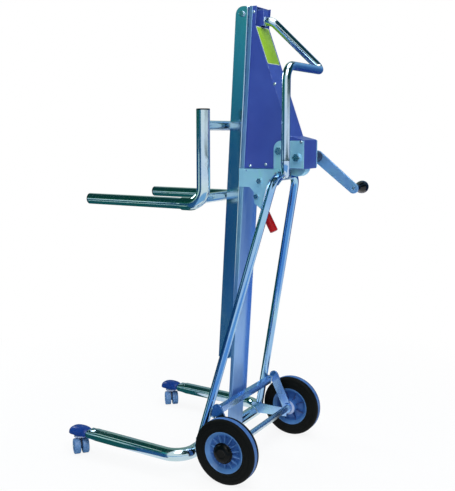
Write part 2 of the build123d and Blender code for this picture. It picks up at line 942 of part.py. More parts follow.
with BuildPart() as winch_pan:
    add(pan_block(-winch_in, pan_x, pan_r))
    add(pan_block(-winch_in + pan_t, pan_x - pan_t, pan_r - pan_t), mode=Mode.SUBTRACT)
    add(frame_bar_right, mode=Mode.SUBTRACT)
    pan_rest = winch_pan.part.solids().sort_by(SortBy.VOLUME)[-1]
    add(pan_rest, mode=Mode.REPLACE)
winch_pan.part.label = "winch_pan"
export_step(winch_pan.part, "parts/winch_pan.step")

# Sheet cover over the cable and the winch, open to the column and below

cover_points = (
    on_mast(sheet, cover_low),
    on_mast(sheet, cover_top),
    (axle_y + cover_top_back, cover_top),
    (axle_y + cover_brow_back, cover_brow_z),
    (axle_y + cover_knee_back, cover_knee_z),
    (axle_y + cover_rear_back, cover_rear_z),
    (axle_y + cover_rear_back, cover_low),
)

with BuildPart() as winch_cover:
    with BuildSketch(Plane.YZ):
        with BuildLine():
            Polyline(*cover_points, close=True)
        make_face()
    extrude(amount=cover_half, both=True)
    low_face = winch_cover.faces().sort_by(Axis.Z)[0]
    front_face = winch_cover.faces().filter_by(lambda face: abs(face.normal_at().X) < 0.5).sort_by(
        lambda face: face.normal_at().Y
    )[0]
    offset(amount=-cover_t, openings=[low_face, front_face])
    with Locations((0, axle_y + head_back, head_low - cover_gap)):
        Box(
            2 * (cover_half - cover_t),
            head_room,
            cover_top - head_low + 2 * cover_gap,
            align=(Align.CENTER, Align.CENTER, Align.MIN),
            mode=Mode.SUBTRACT,
        )
    with BuildSketch(side_plane(0)):
        with Locations((crank_y, crank_z), (drum_y, drum_z)):
            Circle(shaft_r + swing_gap)
    extrude(amount=cover_half, both=True, mode=Mode.SUBTRACT)
winch_cover.part.label = "winch_cover"
export_step(winch_cover.part, "parts/winch_cover.step")

# Drum and its gear on a fixed shaft, and the crank shaft with its pinion

gear_distance = hypot(crank_y - drum_y, crank_z - drum_z)
gear_module = 2 * gear_distance / (gear_teeth + pinion_teeth)
mesh_angle = degrees(atan2(crank_z - drum_z, crank_y - drum_y))
drum_end = cover_half - cover_t - side_gap

with BuildPart() as drum_shaft:
    add(rod(-winch_out, winch_out, drum_y, drum_z, shaft_r))
    for side in (1, -1):
        with BuildSketch(side_plane(side * winch_out, drum_y, drum_z)):
            RegularPolygon(nut_r, 6)
        extrude(amount=side * nut_h)
drum_shaft.part.label = "drum_shaft"
export_step(drum_shaft.part, "parts/drum_shaft.step")

with BuildPart() as drum:
    add(rod(-drum_end, drum_high_x, drum_y, drum_z, drum_hub_r))
    add(rod(drum_low_x, drum_high_x, drum_y, drum_z, drum_core_r))
    add(rod(drum_low_x, drum_low_x + drum_flange_t, drum_y, drum_z, drum_flange_r))
    add(rod(drum_high_x - drum_flange_t, drum_high_x, drum_y, drum_z, drum_flange_r))
    add(rod(-drum_end, drum_high_x, drum_y, drum_z, shaft_r + run_fit), mode=Mode.SUBTRACT)
drum.part.label = "drum"
export_step(drum.part, "parts/drum.step")

with BuildPart() as drum_gear:
    with BuildSketch(side_plane(drum_high_x, drum_y, drum_z)):
        with BuildLine():
            Polyline(*gear_outline(gear_teeth, gear_module, mesh_angle), close=True)
        make_face()
    extrude(amount=gear_w)
    add(rod(drum_high_x, drum_end, drum_y, drum_z, drum_hub_r))
    add(rod(drum_high_x, drum_end, drum_y, drum_z, shaft_r + run_fit), mode=Mode.SUBTRACT)
drum_gear.part.label = "drum_gear"
export_step(drum_gear.part, "parts/drum_gear.step")

pinion_angle = mesh_angle + 180 + 180 / pinion_teeth

with BuildPart() as crank_shaft:
    add(rod(arm_x, winch_out + side_gap + nut_h, crank_y, crank_z, shaft_r))
    with BuildSketch(side_plane(drum_high_x, crank_y, crank_z)):
        with BuildLine():
            Polyline(*gear_outline(pinion_teeth, gear_module, pinion_angle), close=True)
        make_face()
    extrude(amount=gear_w)
    with BuildSketch(side_plane(winch_out + side_gap, crank_y, crank_z)):
        RegularPolygon(nut_r, 6)
    extrude(amount=nut_h)
crank_shaft.part.label = "crank_shaft"
export_step(crank_shaft.part, "parts/crank_shaft.step")

# Crank: hub, flat arm, knob pin and knob on the right-hand side

with BuildPart() as crank_hub:
    add(rod(arm_x, hub_grip_x, crank_y, crank_z, hub_grip_r))
    add(rod(arm_x, hub_grip_x, crank_y, crank_z, shaft_r), mode=Mode.SUBTRACT)
crank_hub.part.label = "crank_hub"
export_step(crank_hub.part, "parts/crank_hub.step")

with BuildPart() as crank_arm:
    with BuildSketch(side_plane(arm_x)):
        with Locations((crank_y, crank_z)):
            Circle(arm_r_hub)
        with Locations((knob_y, knob_z)):
            Circle(arm_r_knob)
        make_hull()
    extrude(amount=-arm_t)
    add(rod(arm_x - arm_t, arm_x, knob_y, knob_z, knob_pin_r), mode=Mode.SUBTRACT)
crank_arm.part.label = "crank_arm"
export_step(crank_arm.part, "parts/crank_arm.step")

knob_x = arm_x - arm_t - knob_start
pin_end_x = knob_x - knob_len + knob_wall

with BuildPart() as knob_pin:
    add(rod(pin_end_x, arm_x, knob_y, knob_z, knob_pin_r))
    add(rod(knob_x + side_gap, arm_x - arm_t, knob_y, knob_z, knob_neck_r))
knob_pin.part.label = "knob_pin"
export_step(knob_pin.part, "parts/knob_pin.step")

with BuildPart() as knob:
    with BuildSketch(Plane(origin=(knob_x, knob_y, knob_z), x_dir=(-1, 0, 0), z_dir=(0, 0, -1))):
        with BuildLine():
            Line((0, 0), (0, knob_neck_r))
            TangentArc(
                (knob_wide_at, knob_r), (0, knob_neck_r), tangent=(1, 0), tangent_from_first=False
            )
            EllipticalCenterArc(
                (knob_wide_at, 0), knob_len - knob_wide_at, knob_r, start_angle=0, arc_size=90
            )
            Line((knob_len, 0), (0, 0))
        make_face()
    revolve(axis=Axis((knob_x, knob_y, knob_z), (1, 0, 0)))
    add(rod(pin_end_x - side_gap, knob_x, knob_y, knob_z, knob_pin_r + run_fit), mode=Mode.SUBTRACT)
knob.part.label = "knob"
export_step(knob.part, "parts/knob.step")

# Release lever: a flat arm on a pin through the bracket's tail, with a sleeve grip

lever_x = bracket_in - lever_play
lever_dir = Vector(0, cos(radians(lever_angle)), sin(radians(lever_angle)))
lever_pivot = Vector(lever_x, axle_y + lever_back, lever_z)
lever_plane = Plane(origin=lever_pivot, x_dir=lever_dir, z_dir=(1, 0, 0))
grip_start = lever_len + grip_tip - grip_len

with BuildPart() as release_lever:
    with BuildSketch(lever_plane):
        with Locations((lever_len / 2, 0)):
            SlotCenterToCenter(lever_len, lever_w)
        Circle(bolt_r + run_fit, mode=Mode.SUBTRACT)
    extrude(amount=-lever_t)
    with Locations(Plane(origin=lever_pivot + lever_dir * grip_start, z_dir=lever_dir)):
        Box(
            2 * lever_w,
            2 * lever_w,
            lever_len,
            align=(Align.CENTER, Align.CENTER, Align.MIN),
            mode=Mode.SUBTRACT,
        )
release_lever.part.label = "release_lever"
export_step(release_lever.part, "parts/release_lever.step")

grip_root = lever_pivot + lever_dir * grip_start - Vector(lever_t / 2, 0, 0)

with BuildPart() as lever_grip:
    with BuildSketch(Plane(origin=grip_root, x_dir=(1, 0, 0), z_dir=lever_dir)):
        Circle(grip_r)
    extrude(amount=grip_len)
    fillet(lever_grip.edges().filter_by(GeomType.CIRCLE), grip_r / 4)
lever_grip.part.label = "lever_grip"
export_step(lever_grip.part, "parts/lever_grip.step")

# Bolts: pulley, rail stop, bracket cross bolt and lever pin

bracket_out = bracket_in + bracket_t
pulley_place = mast(rail_mid, pulley_s)
stop_place = mast(rail_mid, stop_s)

with BuildPart() as frame_bolts:
    add(bolt(-column_half, column_half, *pulley_place, pulley_bolt_r))
    add(bolt(-column_half, column_half, *stop_place, bolt_r))
    add(bolt(-bracket_out, bracket_out, axle_y + cross_bolt_back, cross_bolt_z, bolt_r))
    add(rod(lever_x - lever_t - lever_play, bracket_out, lever_pivot.Y, lever_pivot.Z, bolt_r))
    with BuildSketch(side_plane(bracket_out, lever_pivot.Y, lever_pivot.Z)):
        RegularPolygon(bolt_head_r, 6)
    extrude(amount=bolt_head_h)
frame_bolts.part.label = "frame_bolts"
export_step(frame_bolts.part, "parts/frame_bolts.step")

# Top pulley and the lifting cable

pulley_end = rail_wall_x - side_gap

with BuildPart() as top_pulley:
    with BuildSketch(Plane(origin=(0, *pulley_place))):
        with BuildLine():
            Polyline(
                (-pulley_w / 2, 0),
                (-pulley_w / 2, pulley_r),
                (-cable_r - cable_gap, pulley_r),
                (-cable_r - cable_gap, pulley_groove_r),
                (cable_r + cable_gap, pulley_groove_r),
                (cable_r + cable_gap, pulley_r),
                (pulley_w / 2, pulley_r),
                (pulley_w / 2, 0),
                close=True,
            )
        make_face()
    revolve(axis=Axis((0, *pulley_place), (1, 0, 0)))
    add(rod(-pulley_end, pulley_end, *pulley_place, pulley_hub_r))
    add(rod(-pulley_end, pulley_end, *pulley_place, pulley_bolt_r + run_fit), mode=Mode.SUBTRACT)
top_pulley.part.label = "top_pulley"
export_step(top_pulley.part, "parts/top_pulley.step")

pulley_lay_r = pulley_groove_r + cable_r + cable_gap
drum_lay_r = drum_core_r + cable_r + cable_gap
to_pulley_y = pulley_place[0] - drum_y
to_pulley_z = pulley_place[1] - drum_z
to_pulley = hypot(to_pulley_y, to_pulley_z)
lay_angle = atan2(to_pulley_z, to_pulley_y) - acos(-(drum_lay_r + pulley_lay_r) / to_pulley)
leave_angle = pi - radians(mast_lean)


def around_pulley(angle):
    """Point on the cable's path round the top pulley."""
    return Vector(
        0,
        pulley_place[0] + pulley_lay_r * cos(angle),
        pulley_place[1] + pulley_lay_r * sin(angle),
    )


drum_touch = Vector(0, drum_y - drum_lay_r * cos(lay_angle), drum_z - drum_lay_r * sin(lay_angle))

with BuildPart() as cable_rear:
    with BuildLine() as cable_path:
        Line(drum_touch, around_pulley(lay_angle))
        ThreePointArc(
            around_pulley(lay_angle),
            around_pulley((lay_angle + leave_angle) / 2),
            around_pulley(leave_angle),
        )
    with BuildSketch(Plane(origin=cable_path.line @ 0, z_dir=cable_path.line % 0)):
        Circle(cable_r)
    sweep()
cable_rear.part.label = "cable_rear"
export_step(cable_rear.part, "parts/cable_rear.step")

cable_depth = rail_mid - pulley_lay_r
anchor_top = upper_s + anchor_high

with BuildPart() as cable_front:
    with BuildSketch(mast_plane.offset(anchor_top)):
        with Locations((0, cable_depth)):
            Circle(cable_r)
    extrude(amount=pulley_s - anchor_top)
cable_front.part.label = "cable_front"
export_step(cable_front.part, "parts/cable_front.step")

# Forks: an upright with an elbow on each side, and a tine pushed into each elbow

upright_route = (
    (upright_x, upright_y, upright_top),
    (upright_x, upright_y, tine_z),
    (upright_x, upright_y - elbow_reach, tine_z),
)
upright_bar_left = tube(upright_route, elbow_r, upright_r)
upright_bar_right = upright_bar_left.mirror(Plane.YZ)
elbow_end_y = upright_y - elbow_reach
tine_tip_y = axle_y + tine_tip_back
spigot_r = upright_r - upright_wall - seat_fit

with BuildPart() as fork_upright_left:
    add(tube(upright_route, elbow_r, upright_r, upright_r - upright_wall))
fork_upright_left.part.label = "fork_upright_left"
export_step(fork_upright_left.part, "parts/fork_upright_left.step")

with BuildPart() as fork_upright_right:
    mirror(fork_upright_left.part, about=Plane.YZ)
fork_upright_right.part.label = "fork_upright_right"
export_step(fork_upright_right.part, "parts/fork_upright_right.step")

tine_start_y = elbow_end_y + tine_hold
tine_end_y = tine_tip_y + plug_t

with BuildPart() as fork_tine_left:
    with BuildSketch(Plane(origin=(upright_x, 0, tine_z), x_dir=(0, 1, 0), z_dir=(1, 0, 0))):
        with BuildLine():
            Polyline(
                (tine_start_y, tine_r - tine_wall),
                (tine_start_y, spigot_r),
                (elbow_end_y, spigot_r),
                (elbow_end_y - tine_taper, tine_r),
                (tine_end_y, tine_r),
                (tine_end_y, tine_r - tine_wall),
                close=True,
            )
        make_face()
    revolve(axis=Axis((upright_x, 0, tine_z), (0, 1, 0)))
fork_tine_left.part.label = "fork_tine_left"
export_step(fork_tine_left.part, "parts/fork_tine_left.step")

with BuildPart() as fork_tine_right:
    mirror(fork_tine_left.part, about=Plane.YZ)
fork_tine_right.part.label = "fork_tine_right"
export_step(fork_tine_right.part, "parts/fork_tine_right.step")

with BuildPart() as fork_plugs:
    with BuildSketch(Plane.XY.offset(upright_top)):
        with Locations((upright_x, upright_y)):
            Circle(upright_r)
    extrude(amount=plug_t)
    with BuildSketch(Plane(origin=(upright_x, tine_end_y, tine_z), z_dir=(0, -1, 0))):
        Circle(tine_r)
    extrude(amount=plug_t)
    fillet(fork_plugs.faces().sort_by(Axis.Z)[-1].edges(), plug_t / 2)
    fillet(fork_plugs.faces().sort_by(Axis.Y)[0].edges(), plug_t / 2)
    mirror(about=Plane.YZ)
fork_plugs.part.label = "fork_plugs"
export_step(fork_plugs.part, "parts/fork_plugs.step")


def cross_tube(height):
    """Tube between the two uprights, shaped to their sides."""
    with BuildPart() as cross:
        with BuildSketch(side_plane(0, cross_y, height)):
            Circle(cross_r)
            Circle(cross_r - cross_wall, mode=Mode.SUBTRACT)
        extrude(amount=upright_x - cross_short, both=True)
        add(upright_bar_left, mode=Mode.SUBTRACT)
        add(upright_bar_right, mode=Mode.SUBTRACT)
        middle = cross.part.solids().sort_by(SortBy.VOLUME)[-1]
        add(middle, mode=Mode.REPLACE)
    return cross.part


with BuildPart() as cross_tube_upper:
    add(cross_tube(cross_high))
cross_tube_upper.part.label = "cross_tube_upper"
export_step(cross_tube_upper.part, "parts/cross_tube_upper.step")

with BuildPart() as cross_tube_lower:
    add(cross_tube(cross_low))
cross_tube_lower.part.label = "cross_tube_lower"
export_step(cross_tube_lower.part, "parts/cross_tube_lower.step")

# Carriage plates through the rail's front slot, roller pins, rollers and the cable anchor

plate_front = plate_inset - rail_depth


def plate_lug_points(height):
    """Front edge of a carriage plate where a lug reaches out to a cross tube."""
    return (
        on_mast(plate_front, height + plate_lug),
        (cross_y, height + plate_lug),
        (cross_y, height - plate_lug),
        on_mast(plate_front, height - plate_lug),
    )


plate_points = (
    mast(-plate_rear, lower_s - plate_margin),
    mast(-plate_rear, upper_s + plate_margin),
    mast(plate_front, upper_s + plate_margin),
    *plate_lug_points(cross_high),
    *plate_lug_points(cross_low),
    mast(plate_front, lower_s - plate_margin),
)
upper_pin = mast(rail_mid, upper_s)
lower_pin = mast(rail_mid, lower_s)

with BuildPart() as carriage_plates:
    with BuildSketch(side_plane(plate_in)):
        with BuildLine():
            Polyline(*plate_points, close=True)
        make_face()
        with Locations(upper_pin, lower_pin):
            Circle(roller_pin_r + seat_fit, mode=Mode.SUBTRACT)
        with Locations((cross_y, cross_high), (cross_y, cross_low)):
            Circle(cross_r, mode=Mode.SUBTRACT)
    extrude(amount=plate_t)
    mirror(about=Plane.YZ)
carriage_plates.part.label = "carriage_plates"
export_step(carriage_plates.part, "parts/carriage_plates.step")

roller_end = roller_x + roller_w

with BuildPart() as roller_pins:
    add(rod(-roller_end, roller_end, *upper_pin, roller_pin_r))
    add(rod(-roller_end, roller_end, *lower_pin, roller_pin_r))
roller_pins.part.label = "roller_pins"
export_step(roller_pins.part, "parts/roller_pins.step")

roller_r = rail_depth / 2 - sheet - roller_gap


def rollers(pin_place):
    """Pair of rollers on one pin, behind the rail's two lips."""
    with BuildPart() as pair:
        with BuildSketch(side_plane(roller_x, *pin_place)):
            Circle(roller_r)
            Circle(roller_pin_r + run_fit, mode=Mode.SUBTRACT)
        extrude(amount=roller_w)
        mirror(about=Plane.YZ)
    return pair.part


with BuildPart() as rollers_upper:
    add(rollers(upper_pin))
rollers_upper.part.label = "rollers_upper"
export_step(rollers_upper.part, "parts/rollers_upper.step")

with BuildPart() as rollers_lower:
    add(rollers(lower_pin))
rollers_lower.part.label = "rollers_lower"
export_step(rollers_lower.part, "parts/rollers_lower.step")

with BuildPart() as cable_anchor:
    with BuildSketch(mast_plane.offset(upper_s + anchor_low)):
        with Locations((0, cable_depth)):
            Rectangle(2 * plate_in, anchor_depth)
    extrude(amount=anchor_high - anchor_low)
cable_anchor.part.label = "cable_anchor"
export_step(cable_anchor.part, "parts/cable_anchor.step")
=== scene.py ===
# %% [markdown]
# # A manual winch stacker
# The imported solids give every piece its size, place and joint. This lesson dresses them for a
# product picture: zinc that looks plated, a painted cover, rubber, moulded plastic, welds and rivets.
# Everything is placed in the solids' own frame, so nothing has to be fitted by eye.

# %% Load the frame
import json
import math

import bmesh
import bpy
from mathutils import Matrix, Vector
from mathutils.bvhtree import BVHTree

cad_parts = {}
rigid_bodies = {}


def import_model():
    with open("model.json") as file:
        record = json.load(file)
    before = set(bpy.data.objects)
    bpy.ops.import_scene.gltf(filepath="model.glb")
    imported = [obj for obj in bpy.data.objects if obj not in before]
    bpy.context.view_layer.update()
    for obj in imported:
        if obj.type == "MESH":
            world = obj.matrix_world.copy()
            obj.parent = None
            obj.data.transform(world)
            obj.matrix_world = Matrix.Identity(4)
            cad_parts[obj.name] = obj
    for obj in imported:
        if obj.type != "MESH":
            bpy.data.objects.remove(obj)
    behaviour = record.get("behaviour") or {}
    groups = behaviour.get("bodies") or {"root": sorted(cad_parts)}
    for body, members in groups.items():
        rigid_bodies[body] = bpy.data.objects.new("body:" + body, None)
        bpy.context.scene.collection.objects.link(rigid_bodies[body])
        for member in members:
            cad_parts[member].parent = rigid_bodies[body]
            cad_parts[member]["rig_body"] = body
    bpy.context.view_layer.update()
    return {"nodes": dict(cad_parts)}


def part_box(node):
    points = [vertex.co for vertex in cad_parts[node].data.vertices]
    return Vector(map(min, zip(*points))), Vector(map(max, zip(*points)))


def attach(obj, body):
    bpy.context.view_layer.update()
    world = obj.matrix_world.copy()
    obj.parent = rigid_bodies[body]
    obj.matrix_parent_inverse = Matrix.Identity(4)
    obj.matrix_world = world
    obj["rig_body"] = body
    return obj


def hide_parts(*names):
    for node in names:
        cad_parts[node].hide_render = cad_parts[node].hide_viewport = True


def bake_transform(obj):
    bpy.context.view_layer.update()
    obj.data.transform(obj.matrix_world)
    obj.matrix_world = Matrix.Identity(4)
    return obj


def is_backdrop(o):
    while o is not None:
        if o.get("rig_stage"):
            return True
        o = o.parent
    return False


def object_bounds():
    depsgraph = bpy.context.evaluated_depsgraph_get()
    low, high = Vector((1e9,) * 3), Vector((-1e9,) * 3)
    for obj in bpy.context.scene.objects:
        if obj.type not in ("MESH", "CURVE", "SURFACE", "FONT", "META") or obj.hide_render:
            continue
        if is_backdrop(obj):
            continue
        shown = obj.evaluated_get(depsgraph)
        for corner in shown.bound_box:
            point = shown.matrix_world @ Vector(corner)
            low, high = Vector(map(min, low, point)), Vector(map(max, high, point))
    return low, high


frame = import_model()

nodes = frame["nodes"]
MM = 0.001

# %% [markdown]
# ## Camera
# The photograph was taken from behind the stacker's left side, at about chest height. A real camera
# is found by matching known sizes in the picture: the rear wheels, the mast and the fork tines gave
# the place, the aim and the lens below. The sensor's width belongs to the picture's long side.

# %% Camera
CAMERA_PLACE = Vector((2107.8, 1233.1, 1032.7)) * MM
CAMERA_AIM = Vector((-0.8573, -0.4936, -0.1460))
PICTURE_TALL = 491
FOCAL_PIXELS = 775.58
SENSOR_MM = 36.0

camera_data = bpy.data.cameras.new("camera")
camera_data.sensor_width = SENSOR_MM
camera_data.lens = SENSOR_MM * FOCAL_PIXELS / PICTURE_TALL
camera = bpy.data.objects.new("camera", camera_data)
camera.location = CAMERA_PLACE
camera.rotation_mode = "QUATERNION"
camera.rotation_quaternion = CAMERA_AIM.to_track_quat("-Z", "Y")
bpy.context.collection.objects.link(camera)
bpy.context.scene.camera = camera
print("camera lens", round(camera_data.lens, 1), "mm")

# %% [markdown]
# ## Small helpers for materials
# Paint charts and photographs give colours as sRGB hex values, and shaders work in linear light, so
# one function turns the first into the second. One adds a node, sets it and links it. No real surface
# is equally smooth all over, so the last one lets a noise vary the polish and another raise the skin.

# %% Colour, node and surface helpers
NOISE_LOW, NOISE_HIGH = 0.3, 0.7


def srgb(code):
    """Linear colour of an sRGB hex value."""
    shares = [int(code[i:i + 2], 16) / 255 for i in (1, 3, 5)]
    linear = [c / 12.92 if c <= 0.04045 else ((c + 0.055) / 1.055) ** 2.4 for c in shares]
    return (*linear, 1.0)


def add_node(tree, kind, settings=None, sockets=None, stops=()):
    """Adds a node, sets its properties, and fills or links its sockets and its colour stops."""
    node = tree.nodes.new(kind)
    for name, value in (settings or {}).items():
        setattr(node, name, value)
    for name, value in (sockets or {}).items():
        if isinstance(value, bpy.types.NodeSocket):
            tree.links.new(value, node.inputs[name])
        else:
            node.inputs[name].default_value = value
    for index, (place, colour) in enumerate(stops):
        elements = node.color_ramp.elements
        stop = elements[index] if index < len(elements) else elements.new(place)
        stop.position = place
        stop.color = colour
    return node


def start_material(name, **sockets):
    """A material with one Principled shader, whose plain sockets are set by name."""
    material = bpy.data.materials.new(name)
    material.use_nodes = True
    tree = material.node_tree
    shader = tree.nodes["Principled BSDF"]
    for socket, value in sockets.items():
        shader.inputs[socket.replace("_", " ")].default_value = value
    return material, tree, shader


def per_mm(size):
    """Pattern scale that gives features of this many millimetres."""
    return 1 / (size * MM)


def finish_surface(tree, shader, sheen, roughness, relief, strength, depth):
    """One noise varies the roughness between two values, and one raises the skin by a depth in mm."""
    polish = add_node(tree, "ShaderNodeMapRange", None,
                      {"Value": sheen.outputs["Fac"], "From Min": NOISE_LOW, "From Max": NOISE_HIGH,
                       "To Min": roughness[0], "To Max": roughness[1]})
    tree.links.new(polish.outputs["Result"], shader.inputs["Roughness"])
    bump = add_node(tree, "ShaderNodeBump", None,
                    {"Height": relief.outputs["Fac"], "Strength": strength, "Distance": depth * MM})
    tree.links.new(bump.outputs["Normal"], shader.inputs["Normal"])


finishes = {}
print("helpers ready")

# %% [markdown]
# ## Zinc plate
# Tubes and sheets are mild steel, electroplated with bright zinc and passivated blue. The plate is
# smooth, so it mirrors in soft streaks; the passivate adds clouds of blue, teal and violet about a
# hand wide, and handling leaves fine differences of polish. Drawn tube is glossier than rolled sheet.

# %% Zinc tube, zinc sheet and plated bolts
CLOUD_STOPS = (0.36, 0.52, 0.68)
GRAIN_STRENGTH, GRAIN_DEPTH = 0.012, 0.1


def zinc_plate(name, tints, cloud_mm, along, roughness, grain_mm, metal=1.0):
    """Plated steel: clouds of tint, a polish that differs from place to place, and a fine grain."""
    material, tree, shader = start_material(name, Metallic=metal)
    place = add_node(tree, "ShaderNodeTexCoord")
    stretch = add_node(tree, "ShaderNodeMapping", None,
                       {"Vector": place.outputs["Object"], "Scale": (1, 1, along)})
    clouds = add_node(tree, "ShaderNodeTexNoise", None,
                      {"Vector": stretch.outputs["Vector"], "Scale": per_mm(cloud_mm),
                       "Detail": 4.0, "Distortion": 0.6})
    tint = add_node(tree, "ShaderNodeValToRGB", None, {"Fac": clouds.outputs["Fac"]},
                    [(stop, srgb(colour)) for stop, colour in zip(CLOUD_STOPS, tints)])
    tree.links.new(tint.outputs["Color"], shader.inputs["Base Color"])
    grain = add_node(tree, "ShaderNodeTexNoise", None,
                     {"Vector": stretch.outputs["Vector"], "Scale": per_mm(grain_mm), "Detail": 6.0})
    finish_surface(tree, shader, grain, roughness, grain, GRAIN_STRENGTH, GRAIN_DEPTH)
    return material


finishes["zinc_tube"] = zinc_plate(
    "blue passivated zinc on drawn tube", ("#B2CBE4", "#C0D6E4", "#BCD4DA"), 80, 0.5, (0.11, 0.18), 12)
finishes["zinc_sheet"] = zinc_plate(
    "blue passivated zinc on rolled sheet", ("#AAC6E2", "#B9D2E2", "#B6D2D6"), 110, 0.22, (0.11, 0.17), 10)
finishes["frame_zinc"] = zinc_plate(
    "deep blue passivated zinc on the frame", ("#88B2E0", "#96BEE2", "#9CCAE0"), 80, 0.5, (0.11, 0.18), 12)
finishes["column_zinc"] = zinc_plate(
    "dull blue zinc on the column", ("#86B0EA", "#96BEEC", "#A0CEEA"), 110, 0.22, (0.40, 0.52), 10)
finishes["strap_zinc"] = zinc_plate(
    "deep blue passivated zinc on straps", ("#8AB2EA", "#9AC0EA", "#A2CEE6"), 60, 0.5, (0.20, 0.29), 10)
finishes["satin_zinc"] = zinc_plate(
    "satin zinc on the crank arm", ("#86BAEE", "#92C2F0", "#92C6E8"), 60, 1.0, (0.38, 0.48), 8, 0.85)
finishes["dull_zinc"] = zinc_plate(
    "dull zinc on the bracket plates", ("#A0DAF6", "#AEE4FA", "#AAE8F2"), 45, 0.5, (0.42, 0.54), 6, 0.65)
finishes["bolt_steel"] = zinc_plate(
    "clear passivated zinc on forged bolts", ("#AFC6D8", "#C0D2DC", "#C6D6D8"), 12, 1.0, (0.20, 0.32), 3)
finishes["castor_steel"] = zinc_plate(
    "zinc on pressed castor steel", ("#CFDDE8", "#DCE7EE", "#E2ECEE"), 25, 1.0, (0.40, 0.52), 4)
finishes["weld"] = zinc_plate(
    "zinc over weld metal", ("#A4BFD2", "#B6CCD8", "#BFD2D2"), 8, 1.0, (0.22, 0.36), 2)
finishes["wire_rope"] = zinc_plate(
    "galvanised rope wire", ("#7C8792", "#98A2AA", "#A9B0B2"), 6, 1.0, (0.34, 0.52), 1.0)
print("zinc finishes:", [m.name for m in finishes.values()])

# %% [markdown]
# ## Painted sheet
# The cover and the head box are powder coated, an even deep blue with a satin gloss. Powder flows
# into a faint orange peel about two millimetres across. The code that rounds an edge also marks its
# faces, and the paint reads that mark to paint patches of a paler blue there, a painted highlight.

# %% Blue powder coat
# Painted highlight: a paler blue in patches on the faces that rounding an edge makes.
PAINTED_HIGHLIGHT_MARK = "painted_edge_highlight"
SHADE_MM, PATCH_MM, PEEL_MM = 120, 14, 2.2
HIGHLIGHT_FROM, HIGHLIGHT_FULL = 0.42, 0.66
PEEL_STRENGTH, PEEL_DEPTH = 0.15, 0.12

material, tree, shader = start_material(
    "blue powder coat", IOR=1.5, Coat_Weight=0.15, Coat_Roughness=0.12)
place = add_node(tree, "ShaderNodeTexCoord")
depth = add_node(tree, "ShaderNodeTexNoise", None,
                 {"Vector": place.outputs["Object"], "Scale": per_mm(SHADE_MM), "Detail": 3.0})
coat = add_node(tree, "ShaderNodeValToRGB", None, {"Fac": depth.outputs["Fac"]},
                [(0.35, srgb("#31449A")), (0.65, srgb("#384EA4"))])
# Painted highlight: the mark of rounded faces, broken into patches by a noise, mixes in a paler blue.
edge = add_node(tree, "ShaderNodeAttribute", {"attribute_name": PAINTED_HIGHLIGHT_MARK})
patch_noise = add_node(tree, "ShaderNodeTexNoise", None,
               {"Vector": place.outputs["Object"], "Scale": per_mm(PATCH_MM), "Detail": 5.0})
highlight_patches = add_node(tree, "ShaderNodeMapRange", None,
                {"Value": patch_noise.outputs["Fac"], "From Min": HIGHLIGHT_FROM, "From Max": HIGHLIGHT_FULL})
painted_highlight = add_node(tree, "ShaderNodeMath", {"operation": "MULTIPLY"},
                {0: edge.outputs["Fac"], 1: highlight_patches.outputs["Result"]})
paint = add_node(tree, "ShaderNodeMixRGB", None,
                 {"Fac": painted_highlight.outputs["Value"], "Color1": coat.outputs["Color"], "Color2": srgb("#7E9BD6")})
tree.links.new(paint.outputs["Color"], shader.inputs["Base Color"])
peel = add_node(tree, "ShaderNodeTexNoise", None,
                {"Vector": place.outputs["Object"], "Scale": per_mm(PEEL_MM), "Detail": 1.0})
finish_surface(tree, shader, patch_noise, (0.30, 0.40), peel, PEEL_STRENGTH, PEEL_DEPTH)
finishes["blue_paint"] = material
print("paint:", material.name)

# %% [markdown]
# ## Moulded plastics and rubber
# Caps, knob, wheel rims, grip and rollers are injection moulded: one colour right through, a satin
# skin from the mould, and slow changes of shade where the melt flowed. Rubber is darker and duller. The
# tread band is painted blue as a reflection on black rubber, and the rims' dish and inner ribs are
# painted darker as shade. One function makes them all.

# %% Plastics and rubber
FLOW_STOPS = (0.33, 0.67)
SKIN_STRENGTH = 0.25


def moulded(name, shades, flow_mm, roughness, skin_mm, skin_depth, ior=1.5, mirror=0.5):
    """Moulded plastic or rubber: slow colour flow, and a skin with a fine mould texture."""
    material, tree, shader = start_material(name, IOR=ior, Specular_IOR_Level=mirror)
    place = add_node(tree, "ShaderNodeTexCoord")
    flow = add_node(tree, "ShaderNodeTexNoise", None,
                    {"Vector": place.outputs["Object"], "Scale": per_mm(flow_mm),
                     "Detail": 4.0, "Distortion": 0.8})
    shade = add_node(tree, "ShaderNodeValToRGB", None, {"Fac": flow.outputs["Fac"]},
                     [(stop, srgb(colour)) for stop, colour in zip(FLOW_STOPS, shades)])
    tree.links.new(shade.outputs["Color"], shader.inputs["Base Color"])
    skin = add_node(tree, "ShaderNodeTexNoise", None,
                    {"Vector": place.outputs["Object"], "Scale": per_mm(skin_mm), "Detail": 3.0})
    finish_surface(tree, shader, skin, roughness, skin, SKIN_STRENGTH, skin_depth)
    return material


